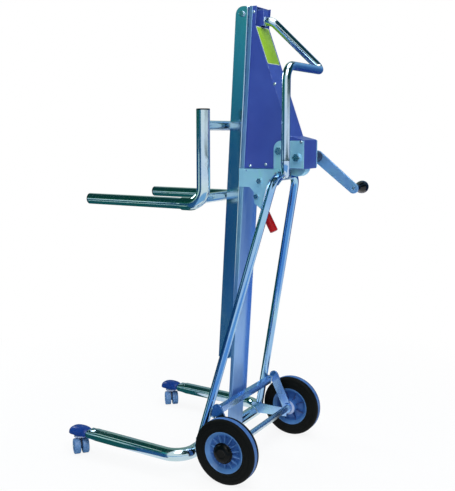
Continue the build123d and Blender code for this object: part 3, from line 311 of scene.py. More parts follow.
MOULDED = {
    "blue_plastic": ("blue polyethylene", ("#0A307A", "#124090"), 30, (0.24, 0.34), 1.5, 0.06, 1.5, 0.25),
    "black_plastic": ("black phenolic", ("#05060A", "#0A0C12"), 25, (0.10, 0.16), 1.5, 0.03, 1.5, 0.15),
    "hub_black": ("black polypropylene", ("#030505", "#070A0A"), 20, (0.22, 0.30), 1.2, 0.04, 1.5, 0.12),
    "tyre_rubber": ("solid black rubber", ("#040605", "#080B09"), 35, (0.58, 0.72), 1.6, 0.12, 1.52, 0.12),
    # Painted reflection: the black rubber of the tread is coloured blue for the sheen of light on it.
    "tread_rubber": ("scuffed tread rubber", ("#34609E", "#4574B4"), 30, (0.50, 0.64), 1.6, 0.12),
    "rim_plastic": ("blue polypropylene", ("#4A7CB6", "#5A8CC4"), 40, (0.34, 0.44), 1.5, 0.06),
    # Darker copies of the rim's blue plastic: painted shade on the dish and on the inner ribs.
    "rim_dish": ("mid blue polypropylene", ("#3868AC", "#4474B8"), 40, (0.36, 0.46), 1.5, 0.06),
    "rim_rib": ("deep blue polypropylene", ("#1E3E7A", "#274A88"), 40, (0.36, 0.46), 1.5, 0.06),
    "rim_hub": ("pale nylon bush", ("#A9B9DA", "#BECBE6"), 20, (0.34, 0.44), 1.5, 0.04),
    "castor_dark": ("dark grey polyamide", ("#1B2740", "#24324E"), 18, (0.40, 0.50), 1.2, 0.06),
    "castor_grey": ("grey polyamide", ("#5680B4", "#6890BE"), 18, (0.36, 0.46), 1.2, 0.06),
    "roller_nylon": ("natural nylon", ("#DAD8CB", "#E8E6DC"), 15, (0.40, 0.50), 1.2, 0.05, 1.53),
    "red_plastic": ("red vinyl", ("#9C0408", "#B20C12"), 25, (0.28, 0.38), 1.4, 0.06, 1.54, 0.2),
    "label_face": ("yellow green vinyl film", ("#86B41C", "#95BE28"), 60, (0.46, 0.56), 2.5, 0.03),
    "label_edge": ("pale vinyl border", ("#C4DAAE", "#D2E4C2"), 60, (0.32, 0.42), 2.5, 0.03),
}
for slot_name, settings in MOULDED.items():
    finishes[slot_name] = moulded(*settings)
print(len(finishes), "finishes in all")

# %% [markdown]
# ## Finishes for the solids
# A tube that was swept in the solids has exact surface normals, and a polished tube needs them, so the
# tubes stay as they are. Each solid takes the procedural finish that has its slot's name.

# %% Dress the solids
SIDES = (("left", 1), ("right", -1))
for solid in nodes.values():
    slot_name = solid.material_slots[0].material.name.split(".")[0]
    for slot in solid.material_slots:
        slot.material = finishes[slot_name]
for word, _ in SIDES:
    nodes["hub_cap_" + word].material_slots[0].material = finishes["hub_black"]
    nodes["frame_tube_" + word].material_slots[0].material = finishes["frame_zinc"]
print("dressed", len(nodes), "solids")

# %% [markdown]
# ## Helpers for pieces
# New pieces are points and faces in millimetres, in rows of as many points each. One function joins the
# rows, one turns a profile about an axis, one sweeps rings along a path, and one makes the piece, smooths
# it and hangs it on its body.

# %% Piece helpers
JOIN_MM = 0.001


def make_piece(name, shapes, looks, body, replaces=(), sharp=38, indices=None):
    """One piece from shapes of (points, faces) in millimetres; it rides on a body and names its slot."""
    points, faces = [], []
    for shape_points, shape_faces in shapes:
        start = len(points)
        points += [Vector(p) * MM for p in shape_points]
        faces += [tuple(i + start for i in face) for face in shape_faces]
    mesh = bpy.data.meshes.new(name)
    mesh.from_pydata(points, [], faces)
    for look in looks:
        mesh.materials.append(finishes[look])
    if indices:
        mesh.polygons.foreach_set("material_index", indices)
    form = bmesh.new()
    form.from_mesh(mesh)
    bmesh.ops.remove_doubles(form, verts=form.verts, dist=JOIN_MM * MM)
    bmesh.ops.recalc_face_normals(form, faces=form.faces)
    form.to_mesh(mesh)
    form.free()
    return hang(name, mesh, body, replaces, sharp)


def hang(name, mesh, body, replaces, sharp):
    """Smooths a mesh, keeps its sharp edges, and makes it a piece, on a body if one is named."""
    mesh.shade_smooth()
    mesh.set_sharp_from_angle(angle=math.radians(sharp))
    piece = bpy.data.objects.new(name, mesh)
    bpy.context.collection.objects.link(piece)
    if body:
        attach(piece, body)
    if replaces:
        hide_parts(*replaces)
    return piece


def row_faces(rows, count, round_rows=False, round_count=True):
    """Quads between neighbouring rows of points; rows and points can each close on themselves."""
    faces = []
    for row in range(rows if round_rows else rows - 1):
        after = (row + 1) % rows
        for i in range(count if round_count else count - 1):
            j = (i + 1) % count
            faces.append((row * count + i, row * count + j, after * count + j, after * count + i))
    return faces


def end_faces(rows, count):
    """One face across the first row of points and one across the last."""
    return [tuple(range(count)), tuple((rows - 1) * count + i for i in range(count))]


def around(count):
    """Cosine and sine of even turns round a circle."""
    turns = [2 * math.pi * i / count for i in range(count)]
    return [(math.cos(turn), math.sin(turn)) for turn in turns]


def turned(profile, centre, axis, steps, closed=True):
    """Turns a profile of (along, radius) points about an axis through centre."""
    axis = Vector(axis).normalized()
    side = axis.orthogonal().normalized()
    across = axis.cross(side)
    points = []
    for c, s in around(steps):
        out = side * c + across * s
        points += [Vector(centre) + axis * along + out * radius for along, radius in profile]
    return points, row_faces(steps, len(profile), True, closed)


def swept(path, ring, closed=False):
    """Sweeps rings along a path; ring(index) gives (side, across) places of one ring's points."""
    path = [Vector(p) for p in path]
    last = len(path) - 1
    points = []
    side = None
    for index, place in enumerate(path):
        ahead = path[(index + 1) % len(path)] if closed else path[min(index + 1, last)]
        behind = path[index - 1] if closed else path[max(index - 1, 0)]
        along = (ahead - behind).normalized()
        side = along.orthogonal() if side is None else side
        side = (side - along * side.dot(along)).normalized()
        across = along.cross(side)
        section = ring(index)
        points += [place + side * a + across * b for a, b in section]
    faces = row_faces(len(path), len(section), closed)
    return points, faces if closed else faces + end_faces(len(path), len(section))


print("piece helpers ready")

# %% [markdown]
# ## Sheet metal with rounded edges
# A sheared or folded edge is never sharp: it has a small radius that catches a line of light. The copy
# of a solid below first gets its bends rounded, then every other edge is broken by a fraction of a
# millimetre. Faces made by the rounding carry the mark that the paint reads.

# %% Rounded copy of a solid
SHARP_EDGE = math.radians(30)
FLAT_ANGLE = math.radians(0.5)
SAME_POINT = 0.002
BEND_STEPS, EDGE_STEPS = 4, 2


def sharp_edges(form):
    """Edges of a mesh between faces that meet at a corner."""
    return [e for e in form.edges if e.is_manifold and e.calc_face_angle(0) > SHARP_EDGE]


def rounded_copy(node, edge_mm, bend_mm=0.0, is_bend=None, finish=None):
    """A piece like a solid, with its bends rounded and its other edges broken, that stands for it."""
    solid = nodes[node]
    form = bmesh.new()
    form.from_mesh(solid.data)
    bmesh.ops.remove_doubles(form, verts=form.verts, dist=SAME_POINT * MM)
    bmesh.ops.dissolve_limit(form, angle_limit=FLAT_ANGLE, verts=form.verts, edges=form.edges)
    # Rounded faces get the mark where the blue paint is painted paler, as a painted highlight.
    mark = form.faces.layers.float.new(PAINTED_HIGHLIGHT_MARK)
    for size, steps, chosen in ((bend_mm, BEND_STEPS, is_bend), (edge_mm, EDGE_STEPS, None)):
        if not size:
            continue
        edges = sharp_edges(form)
        if chosen:
            edges = [e for e in edges if chosen((e.verts[0].co + e.verts[1].co) / 2 / MM)]
        made = bmesh.ops.bevel(form, geom=edges, offset=size * MM, offset_type="OFFSET",
                               segments=steps, profile=0.5, affect="EDGES", clamp_overlap=True)
        for face in made["faces"]:
            face[mark] = 1.0
    bmesh.ops.remove_doubles(form, verts=form.verts, dist=SAME_POINT * MM)
    mesh = bpy.data.meshes.new(node + "_dressed")
    form.to_mesh(mesh)
    form.free()
    own = solid.material_slots[0].material
    mesh.materials.append(finish or own)
    piece = hang(node + "_dressed", mesh, solid["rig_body"], (node,), 38)
    flat = piece.modifiers.new("flat faces stay flat", "WEIGHTED_NORMAL")
    flat.keep_sharp = True
    return piece


print("edges sharper than", round(math.degrees(SHARP_EDGE)), "degrees get rounded")

# %% Mast, cover, plates and plated parts
COLUMN_HALF, COVER_HALF = 49.0, 45.7
axle_low, axle_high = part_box("rear_axle")
AXLE_Y = (axle_low.y + axle_high.y) / 2 / MM
AXLE_Z = (axle_low.z + axle_high.z) / 2 / MM
MAST_LEAN = math.radians(3.28)
JOINT_BACK = -105.2
ON_SIDE = 0.1
CORNER_DEEP = 5


def at_column_side(place):
    """True on the left and right faces of the column and the rail."""
    return abs(abs(place.x) - COLUMN_HALF) < ON_SIDE


def at_rail_rear(place):
    """True at the rail's two outer corners that lie on the column."""
    behind = place.y - (AXLE_Y + JOINT_BACK + place.z * math.tan(MAST_LEAN))
    return at_column_side(place) and behind > -CORNER_DEEP


def at_cover_side(place):
    """True on the left and right faces of the cover."""
    return abs(abs(place.x) - COVER_HALF) < ON_SIDE


rounded_copy("mast_rail", 0.5, 7.0, at_rail_rear)
rounded_copy("mast_column", 0.5, 2.0, at_column_side, finishes["column_zinc"])
rounded_copy("winch_cover", 0.4, 1.8, at_cover_side)
rounded_copy("pulley_head", 1.2)
PLATES = ("bracket_plate_left", "bracket_plate_right", "winch_plate_left", "winch_plate_right", "winch_pan")
STRAPS = ("tie_bar", "wheel_straps", "axle_plates", "release_lever")
SMALL_PARTS = ("frame_bolts", "drum_shaft", "crank_shaft", "column_saddle", "carriage_plates",
               "castor_fork_left", "castor_fork_right", "cable_anchor", "drum", "drum_gear", "top_pulley",
               "roller_pins", "axle_clips", "rear_axle", "fork_plugs", "lever_grip", "knob_pin",
               "rollers_upper", "rollers_lower")
for edge_mm, finish, copied in ((0.7, "dull_zinc", PLATES), (0.7, "strap_zinc", STRAPS),
                                (0.8, "satin_zinc", ("crank_arm",)), (0.6, "castor_dark", ("crank_hub",)),
                                (0.6, None, SMALL_PARTS)):
    for node in copied:
        rounded_copy(node, edge_mm, finish=finishes.get(finish))

# %% Castor bodies in three finishes
CASTOR_TURNS = {"left": math.radians(50), "right": math.radians(40)}
CASTOR_WEB_TOP, CASTOR_WEB_HALF = 51.5, 2.6
WEB, COLLAR = 1, 2


def castor_line(word):
    """Middle of a pair of castor wheels in metres, and the way their axle points."""
    low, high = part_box("castor_wheels_" + word)
    turn = CASTOR_TURNS[word]
    return (low + high) / 2, Vector((math.sin(turn), -math.cos(turn), 0))


for word, _ in SIDES:
    fork = bpy.data.objects["castor_fork_" + word + "_dressed"].data
    fork.materials.append(finishes["castor_dark"])
    fork.materials.append(finishes["rim_hub"])
    middle, axis = castor_line(word)
    for face in fork.polygons:
        if face.center.z > CASTOR_WEB_TOP * MM:
            face.material_index = COLLAR
        elif abs((face.center - middle).dot(axis)) < CASTOR_WEB_HALF * MM:
            face.material_index = WEB
print("castor bodies: steel axle, dark web, pale collar")

# %% [markdown]
# ## Rear wheels
# Each wheel is a solid rubber tyre pressed on a moulded rim. The sidewall has shallow moulded rings, the
# tread is a plain band with a mould line, the rim is a dish with ribs round its hub, and a black cap
# closes the hub. All of it is turned from profiles; the ribs are small plates with rounded tops.

# %% Wheel profiles
WHEEL_X = 225.0
SHOULDER_R = 9
SHOULDER = [(11 + SHOULDER_R * math.sin(math.radians(a)), 91 + SHOULDER_R * math.cos(math.radians(a)))
            for a in range(0, 91, 10)]
SIDEWALL = [(20, 86.8), (19.3, 86.0), (19.3, 84.6), (20, 83.8), (20, 74.2), (19.2, 73.2), (19.2, 70.8),
            (20, 70.0), (20, 64.2), (19.4, 63.2)]
HALF_TYRE = [*SHOULDER, *SIDEWALL]
MOULD_LINE = [(-4.4, 100), (-4.0, 99.5), (-2.0, 99.5), (-1.6, 100)]
DISH = [(20, 62.9), (20, 61.4), (19.4, 60.6), (18.2, 60.0), (9.5, 52.5), (6.5, 48.0), (4.2, 46.5),
        (3.4, 45.0), (3.2, 27.0), (4.2, 25.2), (6, 24.4)]
HUB_OUT = [(20.6, 24.0), (21.6, 23.4), (22, 22.4), (22, 10.1)]
HUB_IN = [(31, 24.0), (32, 23.4), (32.3, 22.4), (32.3, 10.1)]
CAP = [(29.4, 0.0), (29.4, 17.5), (20.5, 17.5), (20.5, 31.0), (21.4, 31.8), (23.0, 31.8), (24.2, 30.8),
       (24.6, 28.0), (27.6, 26.8), (30.2, 24.6), (32.0, 21.4), (32.8, 17.4), (33, 13.6), (32.5, 12.8),
       (32.2, 11.6), (32.4, 6.0), (32.5, 0.0)]
TYRE_STEPS, RIM_STEPS, HUB_STEPS = 120, 96, 72
print("tyre profile of", 2 * len(HALF_TYRE) + len(MOULD_LINE), "points")

# %% Ribs of a rim
RIBS = {1: 14, -1: 8}
RIB_FOOT = 2.6
RIB_OUTLINE = [(23.0, RIB_FOOT), (23.0, 15.4), (24.2, 16.6), (26.0, 16.8), (34.0, 14.4), (44.0, 11.4),
               (53.0, 10.6), (54.6, 9.4), (50.0, RIB_FOOT)]
RIB_ROWS = [(-1.0, 0.7), (-0.3, 0.0), (0.3, 0.0), (1.0, 0.7)]


def rib(centre, outward, turn):
    """One rib: its outline in four rows across its thickness, lower in the outer two."""
    out = Vector((0, math.cos(turn), math.sin(turn)))
    across = Vector((0, -math.sin(turn), math.cos(turn)))
    points = [Vector(centre) + out * radius + across * shift + outward * max(RIB_FOOT, along - drop)
              for shift, drop in RIB_ROWS for radius, along in RIB_OUTLINE]
    rows, count = len(RIB_ROWS), len(RIB_OUTLINE)
    return points, row_faces(rows, count) + end_faces(rows, count)


print(RIBS[1], "ribs on a rim's outer side and", RIBS[-1], "on its inner side")

# %% Tyres, rims and hub caps
RING_FROM, BUSH_R = 50.0, 23.5


def inner_side(profile):
    """The same profile on the wheel's inner side."""
    return [(-along, radius) for along, radius in reversed(profile)]


def make_tyre(word, centre, axis):
    """A black tyre; the tread band, the stretches that start at the mould line's points, is painted blue as
    a reflection.
    """
    profile = HALF_TYRE + inner_side(HALF_TYRE) + MOULD_LINE
    points, faces = turned(profile, centre, axis, TYRE_STEPS)
    count = len(profile)
    tread = range(count - len(MOULD_LINE), count)
    # The tread band takes the painted blue reflection.
    make_piece("tyre_" + word + "_moulded", [(points, faces)],
               ("tyre_rubber", "tread_rubber"), "wheel_" + word,
               ("tyre_" + word,), 30, [1 if i % count in tread else 0 for i in range(len(faces))])


def make_rim(word, centre, axis):
    """A rim with its ring, a dish painted darker as shade, a pale bush on the inside, and ribs on both
    sides.
    """
    profile = DISH + HUB_OUT + inner_side(DISH + HUB_IN)
    shapes = [turned(profile, centre, axis, RIM_STEPS)]
    kinds = []
    # Faces inside the ring are the dish, painted darker as shade.
    for (along, r), (_, next_r) in zip(profile, profile[1:] + profile[:1]):
        low_r = min(r, next_r)
        kinds.append(2 if along < 0 and low_r < BUSH_R else 0 if low_r > RING_FROM else 1)
    indices = kinds * RIM_STEPS
    for face, ribs in RIBS.items():
        for step in range(ribs):
            shapes.append(rib(centre, Vector(axis) * face, 2 * math.pi * (step + 0.5) / ribs))
            # Outer ribs take the ring's lighter colour as a painted highlight, inner ribs a darker painted
            # shade.
            indices += [0 if face > 0 else 3] * len(shapes[-1][1])
    make_piece("rim_" + word + "_moulded", shapes,
               ("rim_plastic", "rim_dish", "rim_hub", "rim_rib"),
               "wheel_" + word, ("rim_" + word,), 32, indices)


for word, side in SIDES:
    centre, axis = (side * WHEEL_X, AXLE_Y, AXLE_Z), (side, 0, 0)
    make_tyre(word, centre, axis)
    make_rim(word, centre, axis)
    make_piece("hub_cap_" + word + "_moulded", [turned(CAP, centre, axis, HUB_STEPS, closed=False)],
               ("hub_black",), "wheel_" + word, ("hub_cap_" + word,), 32)
print("wheels turned about y", round(AXLE_Y, 1), "z", round(AXLE_Z, 1), "mm")

# %% [markdown]
# ## Label and rivets
# The slope of the cover carries a film label, left blank here, with a pale border. The cover is held by
# blind rivets: a shallow dome with the hole that the drawn mandrel leaves.

# %% Blank label
BROW = Vector((1.5, AXLE_Y - 7.0, 1337.7))
KNEE = Vector((1.5, AXLE_Y + 110.0, 1018.0))
slope = (KNEE - BROW).normalized()
outward = Vector((1, 0, 0)).cross(slope)
outward = outward if outward.z > 0 else -outward
LABEL_HALF = 40.5
LABEL_FROM, LABEL_TO = 1.0, 117.4
LABEL_CORNER, LABEL_BORDER, LABEL_THICK = 5.0, 2.2, 0.35
LABEL_ROWS = [(0, 0.02), (0, LABEL_THICK * 0.7), (0.3, LABEL_THICK), (LABEL_BORDER, LABEL_THICK),
              (LABEL_BORDER + 0.1, LABEL_THICK + 0.05)]
BORDER_ROWS = 3
CORNER_TURNS = range(0, 91, 15)


def label_row(shrink, lift):
    """Points round the label, drawn in by shrink and lifted off the cover."""
    points = []
    middle = (LABEL_FROM + LABEL_TO) / 2
    wide = LABEL_HALF - LABEL_CORNER
    long = (LABEL_TO - LABEL_FROM) / 2 - LABEL_CORNER
    for corner, (sx, sy) in enumerate(((1, 1), (-1, 1), (-1, -1), (1, -1))):
        for degree in CORNER_TURNS:
            turn = math.radians(90 * corner + degree)
            x = sx * wide + (LABEL_CORNER - shrink) * math.cos(turn)
            y = sy * long + (LABEL_CORNER - shrink) * math.sin(turn)
            points.append(BROW + Vector((x, 0, 0)) + slope * (middle + y) + outward * lift)
    return points


points = [p for shrink, lift in LABEL_ROWS for p in label_row(shrink, lift)]
rows, count = len(LABEL_ROWS), len(points) // len(LABEL_ROWS)
kinds = [0 if row < BORDER_ROWS else 1 for row in range(rows - 1) for _ in range(count)] + [0, 1]
make_piece("cover_label", [(points, row_faces(rows, count) + end_faces(rows, count))],
           ("label_edge", "label_face"), "frame", (), 50, kinds)
print("label", round(LABEL_TO - LABEL_FROM), "by", round(2 * LABEL_HALF), "mm")

# %% Rivets
RIVET = [(-0.5, 0.0), (-0.5, 4.6), (0.35, 4.6), (0.9, 4.1), (1.5, 3.0), (1.75, 1.9), (1.6, 1.5), (0.6, 1.3),
         (0.5, 0.0)]
COVER_RIVETS = [(-22.2, 929.5), (30.3, 934.2), (57.8, 1167.8), (-12.0, 1376.0)]
PLATE_RIVETS = [(146.0, 1001.0)]
for name, places, outside in (("cover_rivets", COVER_RIVETS, COVER_HALF),
                              ("plate_rivets", PLATE_RIVETS, COLUMN_HALF)):
    shapes = [turned(RIVET, (side * outside, AXLE_Y + back, high), (side, 0, 0), 32, closed=False)
              for _, side in SIDES for back, high in places]
    make_piece(name, shapes, ("bolt_steel",), "frame", (), 32)
print(2 * len(COVER_RIVETS + PLATE_RIVETS), "rivets")

# %% [markdown]
# ## Castors
# The front castors are twin wheels on a short stem, each under a domed blue cap. A wheel is a tread ring
# on a hub with a dished side; both wheels of a pair are turned about the same axle.

# %% Castor wheels
CASTOR_GAP = 2.9
WHEEL_SIDE = [(0.0, 4.1), (0.0, 21.0), (0.6, 23.0), (1.8, 24.4), (3.8, 25.0), (9.7, 25.0), (10.1, 24.6),
              (10.9, 24.6), (11.3, 25.0), (17.2, 25.0), (19.2, 24.4), (20.4, 23.0), (21.0, 21.0),
              (21.0, 20.2), (20.4, 19.6), (19.2, 18.8), (18.8, 17.8), (18.8, 10.4), (19.4, 9.6), (20.6, 9.2),
              (21.0, 8.6), (21.0, 4.1)]
for word, _ in SIDES:
    middle, axis = castor_line(word)
    pair = [turned(WHEEL_SIDE, middle / MM + axis * way * CASTOR_GAP, axis * way, 72) for way in (1, -1)]
    make_piece("castor_wheels_" + word + "_moulded", pair, ("castor_grey",),
               "castor_roll_" + word, ("castor_wheels_" + word,), 32)
print("castor wheels", 2 * max(radius for _, radius in WHEEL_SIDE), "mm across")

# %% [markdown]
# ## Castor caps and crank knob
# A cap is a plastic dome over the flattened end of a leg, rounder at its top than at its foot, with a
# shallow dimple where the mould was filled. It is a shell, open below, so the castor can swivel in it. The
# knob is an egg of black plastic behind a plated ferrule, and turns on its pin.

# %% Castor caps
CAP_FOOT, CAP_WALL = 63.0, 3.0
CAP_ROOM = [(1.2, 12.2), (0.0, 10.2), (0.0, 0.0)]
CAP_DOME = [(0.975, 0.0), (0.992, 0.4), (1.0, 1.2), (1.0, 6.0), (0.985, 9.5), (0.95, 13.0), (0.89, 16.2),
            (0.80, 19.2), (0.68, 21.7), (0.54, 23.5), (0.41, 24.5), (0.33, 24.9)]
DIMPLE = [(7.6, 25.0), (7.0, 24.9), (6.2, 24.2), (4.6, 23.6), (2.4, 23.4)]
DIMPLE_LONG = 1.15
ROOM_SQUARE, FOOT_SQUARE, CROWN_SQUARE, ROUND_PLAN = 3.2, 3.4, 2.2, 2
CAP_STEPS = 64


def cap_row(half_wide, half_long, square, height):
    """Points round a plan at one height; a higher value of square makes it less round."""
    return [Vector((half_wide * math.copysign(abs(c) ** (2 / square), c),
                    half_long * math.copysign(abs(s) ** (2 / square), s), height))
            for c, s in around(CAP_STEPS)]


for word, _ in SIDES:
    low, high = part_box("castor_cap_" + word)
    half = (high - low) / 2 / MM
    foot = Vector(((low.x + high.x) / 2 / MM, (low.y + high.y) / 2 / MM, CAP_FOOT))
    cap_rows = [cap_row(half.x - CAP_WALL - inset, half.y - CAP_WALL - inset, ROOM_SQUARE, height)
                for inset, height in CAP_ROOM]
    for share, height in CAP_DOME:
        square = FOOT_SQUARE - (FOOT_SQUARE - CROWN_SQUARE) * (height / CAP_DOME[-1][1]) ** 2
        cap_rows.append(cap_row(half.x * share, half.y * share, square, height))
    cap_rows += [cap_row(radius, radius * DIMPLE_LONG, ROUND_PLAN, height) for radius, height in DIMPLE]
    points = [foot + place for row in cap_rows for place in row]
    faces = row_faces(len(cap_rows), CAP_STEPS) + end_faces(len(cap_rows), CAP_STEPS)
    make_piece("castor_cap_" + word + "_moulded", [(points, faces)], ("blue_plastic",), "frame",
               ("castor_cap_" + word,), 40)
print("caps", round(2 * half.y), "mm long")

# %% Crank knob
low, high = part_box("knob")
KNOB_NEAR, KNOB_FAR = -high.x / MM, -low.x / MM
KNOB_WIDE, FERRULE_END, PIN_END = KNOB_NEAR + 68, KNOB_NEAR + 9, KNOB_FAR - 12
KNOB_NECK, KNOB_R, PIN_R = 9.5, 19.5, 5.1
FERRULE = [(KNOB_NEAR, PIN_R), (KNOB_NEAR, 8.8), (KNOB_NEAR + 0.7, KNOB_NECK),
           (FERRULE_END - 0.7, KNOB_NECK), (FERRULE_END, 8.8)]
swell = [i / 14 for i in range(15)]
KNOB_BODY = [(FERRULE_END + (KNOB_WIDE - FERRULE_END) * t,
              KNOB_NECK + (KNOB_R - KNOB_NECK) * t * t * (3 - 2 * t)) for t in swell]
ROUND_END = [(KNOB_WIDE + (KNOB_FAR - KNOB_WIDE) * math.sin(math.radians(a)),
              KNOB_R * math.cos(math.radians(a))) for a in range(9, 90, 9)] + [(KNOB_FAR, 0.0)]
PIN_HOLE = [(PIN_END, 0.0), (PIN_END, PIN_R)]
profile = PIN_HOLE + FERRULE + KNOB_BODY + ROUND_END
knob_place = (0, (low.y + high.y) / 2 / MM, (low.z + high.z) / 2 / MM)
points, faces = turned(profile, knob_place, (-1, 0, 0), 64, closed=False)
bands = len(profile) - 1
plated = range(1, len(PIN_HOLE) + len(FERRULE))
make_piece("knob_moulded", [(points, faces)], ("black_plastic", "bolt_steel"), "knob",
           ("knob",), 35, [1 if i % bands in plated else 0 for i in range(len(faces))])
print("knob", round(KNOB_FAR - KNOB_NEAR), "mm long")

# %% [markdown]
# ## Washers and welds
# The shafts' nuts sit on plain washers. Tubes and plates are joined by weld beads, plated with the rest. A
# bead round a tube's end is found with rays: they run along the tube's skin until they meet the piece it
# is welded to. Each bead has the small steps that drops of metal leave.

# %% Washers
DRUM_BACK, DRUM_Z = 75.8, 974.6
WASHERS = [(49.0, DRUM_BACK, DRUM_Z, 10.0, 14.5), (49.0, 133.0, 956.0, 10.0, 14.5),
           (52.0, 13.0, 885.0, 7.5, 11.8)]
shapes = []
for outside, back, height, hole, edge in WASHERS:
    ring = [(0.0, hole), (0.0, edge), (1.0, edge), (1.5, edge - 0.5), (1.5, hole)]
    for _, side in SIDES:
        shapes.append(turned(ring, (side * outside, AXLE_Y + back, height), (side, 0, 0), 48))
make_piece("shaft_washers", shapes, ("dull_zinc",), "frame", (), 32)
print(len(shapes), "washers")

# %% A weld bead
BEAD_R, FINE_BEAD_R, THIN_BEAD_R = 2.3, 2.0, 1.8
BEAD_STEP, DROP, DROP_DEEP = 0.8, 2.6, 0.14
TAIL_THIN, TAIL_GROWTH = 0.35, 0.25
ROUND = around(10)


def evenly(path, step, closed=False):
    """The same path with points an even step apart."""
    path = [Vector(p) for p in path]
    if closed:
        path.append(path[0])
    result, left = [path[0]], step
    for a, b in zip(path, path[1:]):
        length = (b - a).length
        while left <= length:
            result.append(a.lerp(b, left / length))
            left += step
        left -= length
    return result[:-1] if closed else result


def bead(path, closed=False, radius=BEAD_R):
    """A weld bead along a path; an open one thins out at its ends."""
    path = evenly(path, BEAD_STEP, closed)
    last = len(path) - 1

    def ring(index):
        size = radius * (1 - DROP_DEEP + DROP_DEEP * abs(math.sin(math.pi * index * BEAD_STEP / DROP)))
        if not closed:
            size *= min(1.0, TAIL_THIN + TAIL_GROWTH * min(index, last - index))
        return [(size * a, size * b) for a, b in ROUND]

    return swept(path, ring, closed)


def arc(x, y, z, radius, first, last):
    """Points of an arc across the X axis, from one angle to another, counted from the rear upward."""
    count = max(6, int(abs(last - first) / 6))
    angles = [math.radians(first + (last - first) * i / count) for i in range(count + 1)]
    return [Vector((x, y + radius * math.cos(a), z + radius * math.sin(a))) for a in angles]


print("a bead has a drop each", DROP, "mm")

# %% Beads where a tube meets what it is welded to
SKIN_GAP, RUN_BREAK, RUN_SHORT = 0.3, 9, 4
RAY_METRES, RAY_TURNS = 0.12, range(0, 363, 3)


def foot_beads(start, along, radius, targets):
    """Beads where a tube's skin, followed along its axis, meets the target pieces."""
    trees = []
    for name in targets:
        mesh = nodes[name].data
        trees.append(BVHTree.FromPolygons([v.co for v in mesh.vertices],
                                          [tuple(p.vertices) for p in mesh.polygons]))
    along = Vector(along).normalized()
    side = along.orthogonal().normalized()
    across = along.cross(side)
    runs, run = [], []
    for degree in RAY_TURNS:
        turn = math.radians(degree)
        origin = Vector(start) + (side * math.cos(turn) + across * math.sin(turn)) * (radius + SKIN_GAP)
        hits = [tree.ray_cast(origin * MM, along, RAY_METRES) for tree in trees]
        hits = [(hit[3], hit[0] / MM) for hit in hits if hit[0] is not None]
        point = min(hits, key=lambda hit: hit[0])[1] if hits else None
        if point is not None and (not run or (point - run[-1]).length < RUN_BREAK):
            run.append(point)
        else:
            runs.append(run)
            run = [point] if point is not None else []
    runs.append(run)
    return [bead(r) for r in runs if len(r) > RUN_SHORT]


print("rays every", RAY_TURNS.step, "degrees round a tube")

# %% Welds of the frame
TUBE_R = 12.5
FRAME_LEAN, FRAME_BACK = math.radians(13), -133.0
FRAME_TOP_X, FRAME_TOP_Z, FRAME_FOOT_X, FRAME_FOOT_Z = 75, 900, 202, 62
HANDLE_END, HANDLE_END_R = Vector((0, AXLE_Y + 5.4, 1352.7)), 13.2
HANDLE_CORNER = Vector((126, AXLE_Y + 134, 913))
TIE_Z, TIE_HIGH, TIE_DEEP, STRAP_X = 195.0, 25.0, 15.0, 187.0
TIE_BEAD_X, TIE_BEAD_HALF = 7.6, 11.5
# x, place behind the axle, height, radius, and the first and last angle of the arcs on each side
WELD_ARCS = [(181.0, -131, 63, 20.4, 6, 84), (187.4, -131, 63, 20.4, 6, 84),
             (52.2, 74.8, FRAME_TOP_Z, 13.0, 112, 214)]


def on_frame(x, z, behind=0.0):
    """A point of the leaning frame's plane at this height, or this far behind the plane."""
    return Vector((x, AXLE_Y + FRAME_BACK + z * math.tan(FRAME_LEAN) + behind * math.cos(FRAME_LEAN),
                   z - behind * math.sin(FRAME_LEAN)))


def on_leg(side, z, shift=0.0, behind=0.0):
    """A point of a frame leg's middle line at this height, shifted sideways or back."""
    share = (FRAME_TOP_Z - z) / (FRAME_TOP_Z - FRAME_FOOT_Z)
    return on_frame(side * (FRAME_TOP_X + (FRAME_FOOT_X - FRAME_TOP_X) * share) + shift, z, behind)


circle = [HANDLE_END + HANDLE_END_R * Vector((c, 0, s)) for c, s in around(45)]
frame_beads = [bead(circle, True, THIN_BEAD_R)]
handle_foot = on_frame(-5, FRAME_TOP_Z) + Vector((0, 0, 2))
foot_way = (handle_foot - HANDLE_CORNER).normalized()
frame_beads += foot_beads(HANDLE_CORNER + foot_way * 50, foot_way, TUBE_R,
                          ("frame_tube_left", "frame_tube_right"))
tie_half = TIE_HIGH / 2 * math.cos(FRAME_LEAN)
for word, side in SIDES:
    leg_top, leg_foot = on_leg(side, FRAME_TOP_Z), on_leg(side, FRAME_FOOT_Z)
    frame_beads += foot_beads(leg_top.lerp(leg_foot, 0.9), leg_foot - leg_top, TUBE_R,
                              ("base_leg_" + word, "base_cross_tube"))
    for shift in (TIE_BEAD_X, -TIE_BEAD_X):
        ends = [on_leg(side, TIE_Z + rise, shift, TUBE_R - 1) for rise in (TIE_BEAD_HALF, -TIE_BEAD_HALF)]
        frame_beads.append(bead(ends, radius=FINE_BEAD_R))
    corners = [on_frame(side * (STRAP_X - 0.4), TIE_Z + up * tie_half, TUBE_R + deep)
               for up, deep in ((1, 0), (1, TIE_DEEP), (-1, TIE_DEEP), (-1, 0))]
    frame_beads.append(bead(corners, True, FINE_BEAD_R))
    frame_beads += [bead(arc(side * x, AXLE_Y + back, *rest), radius=FINE_BEAD_R)
                    for x, back, *rest in WELD_ARCS]
make_piece("frame_welds", frame_beads, ("weld",), "frame", (), 60)
print(len(frame_beads), "beads on the frame")

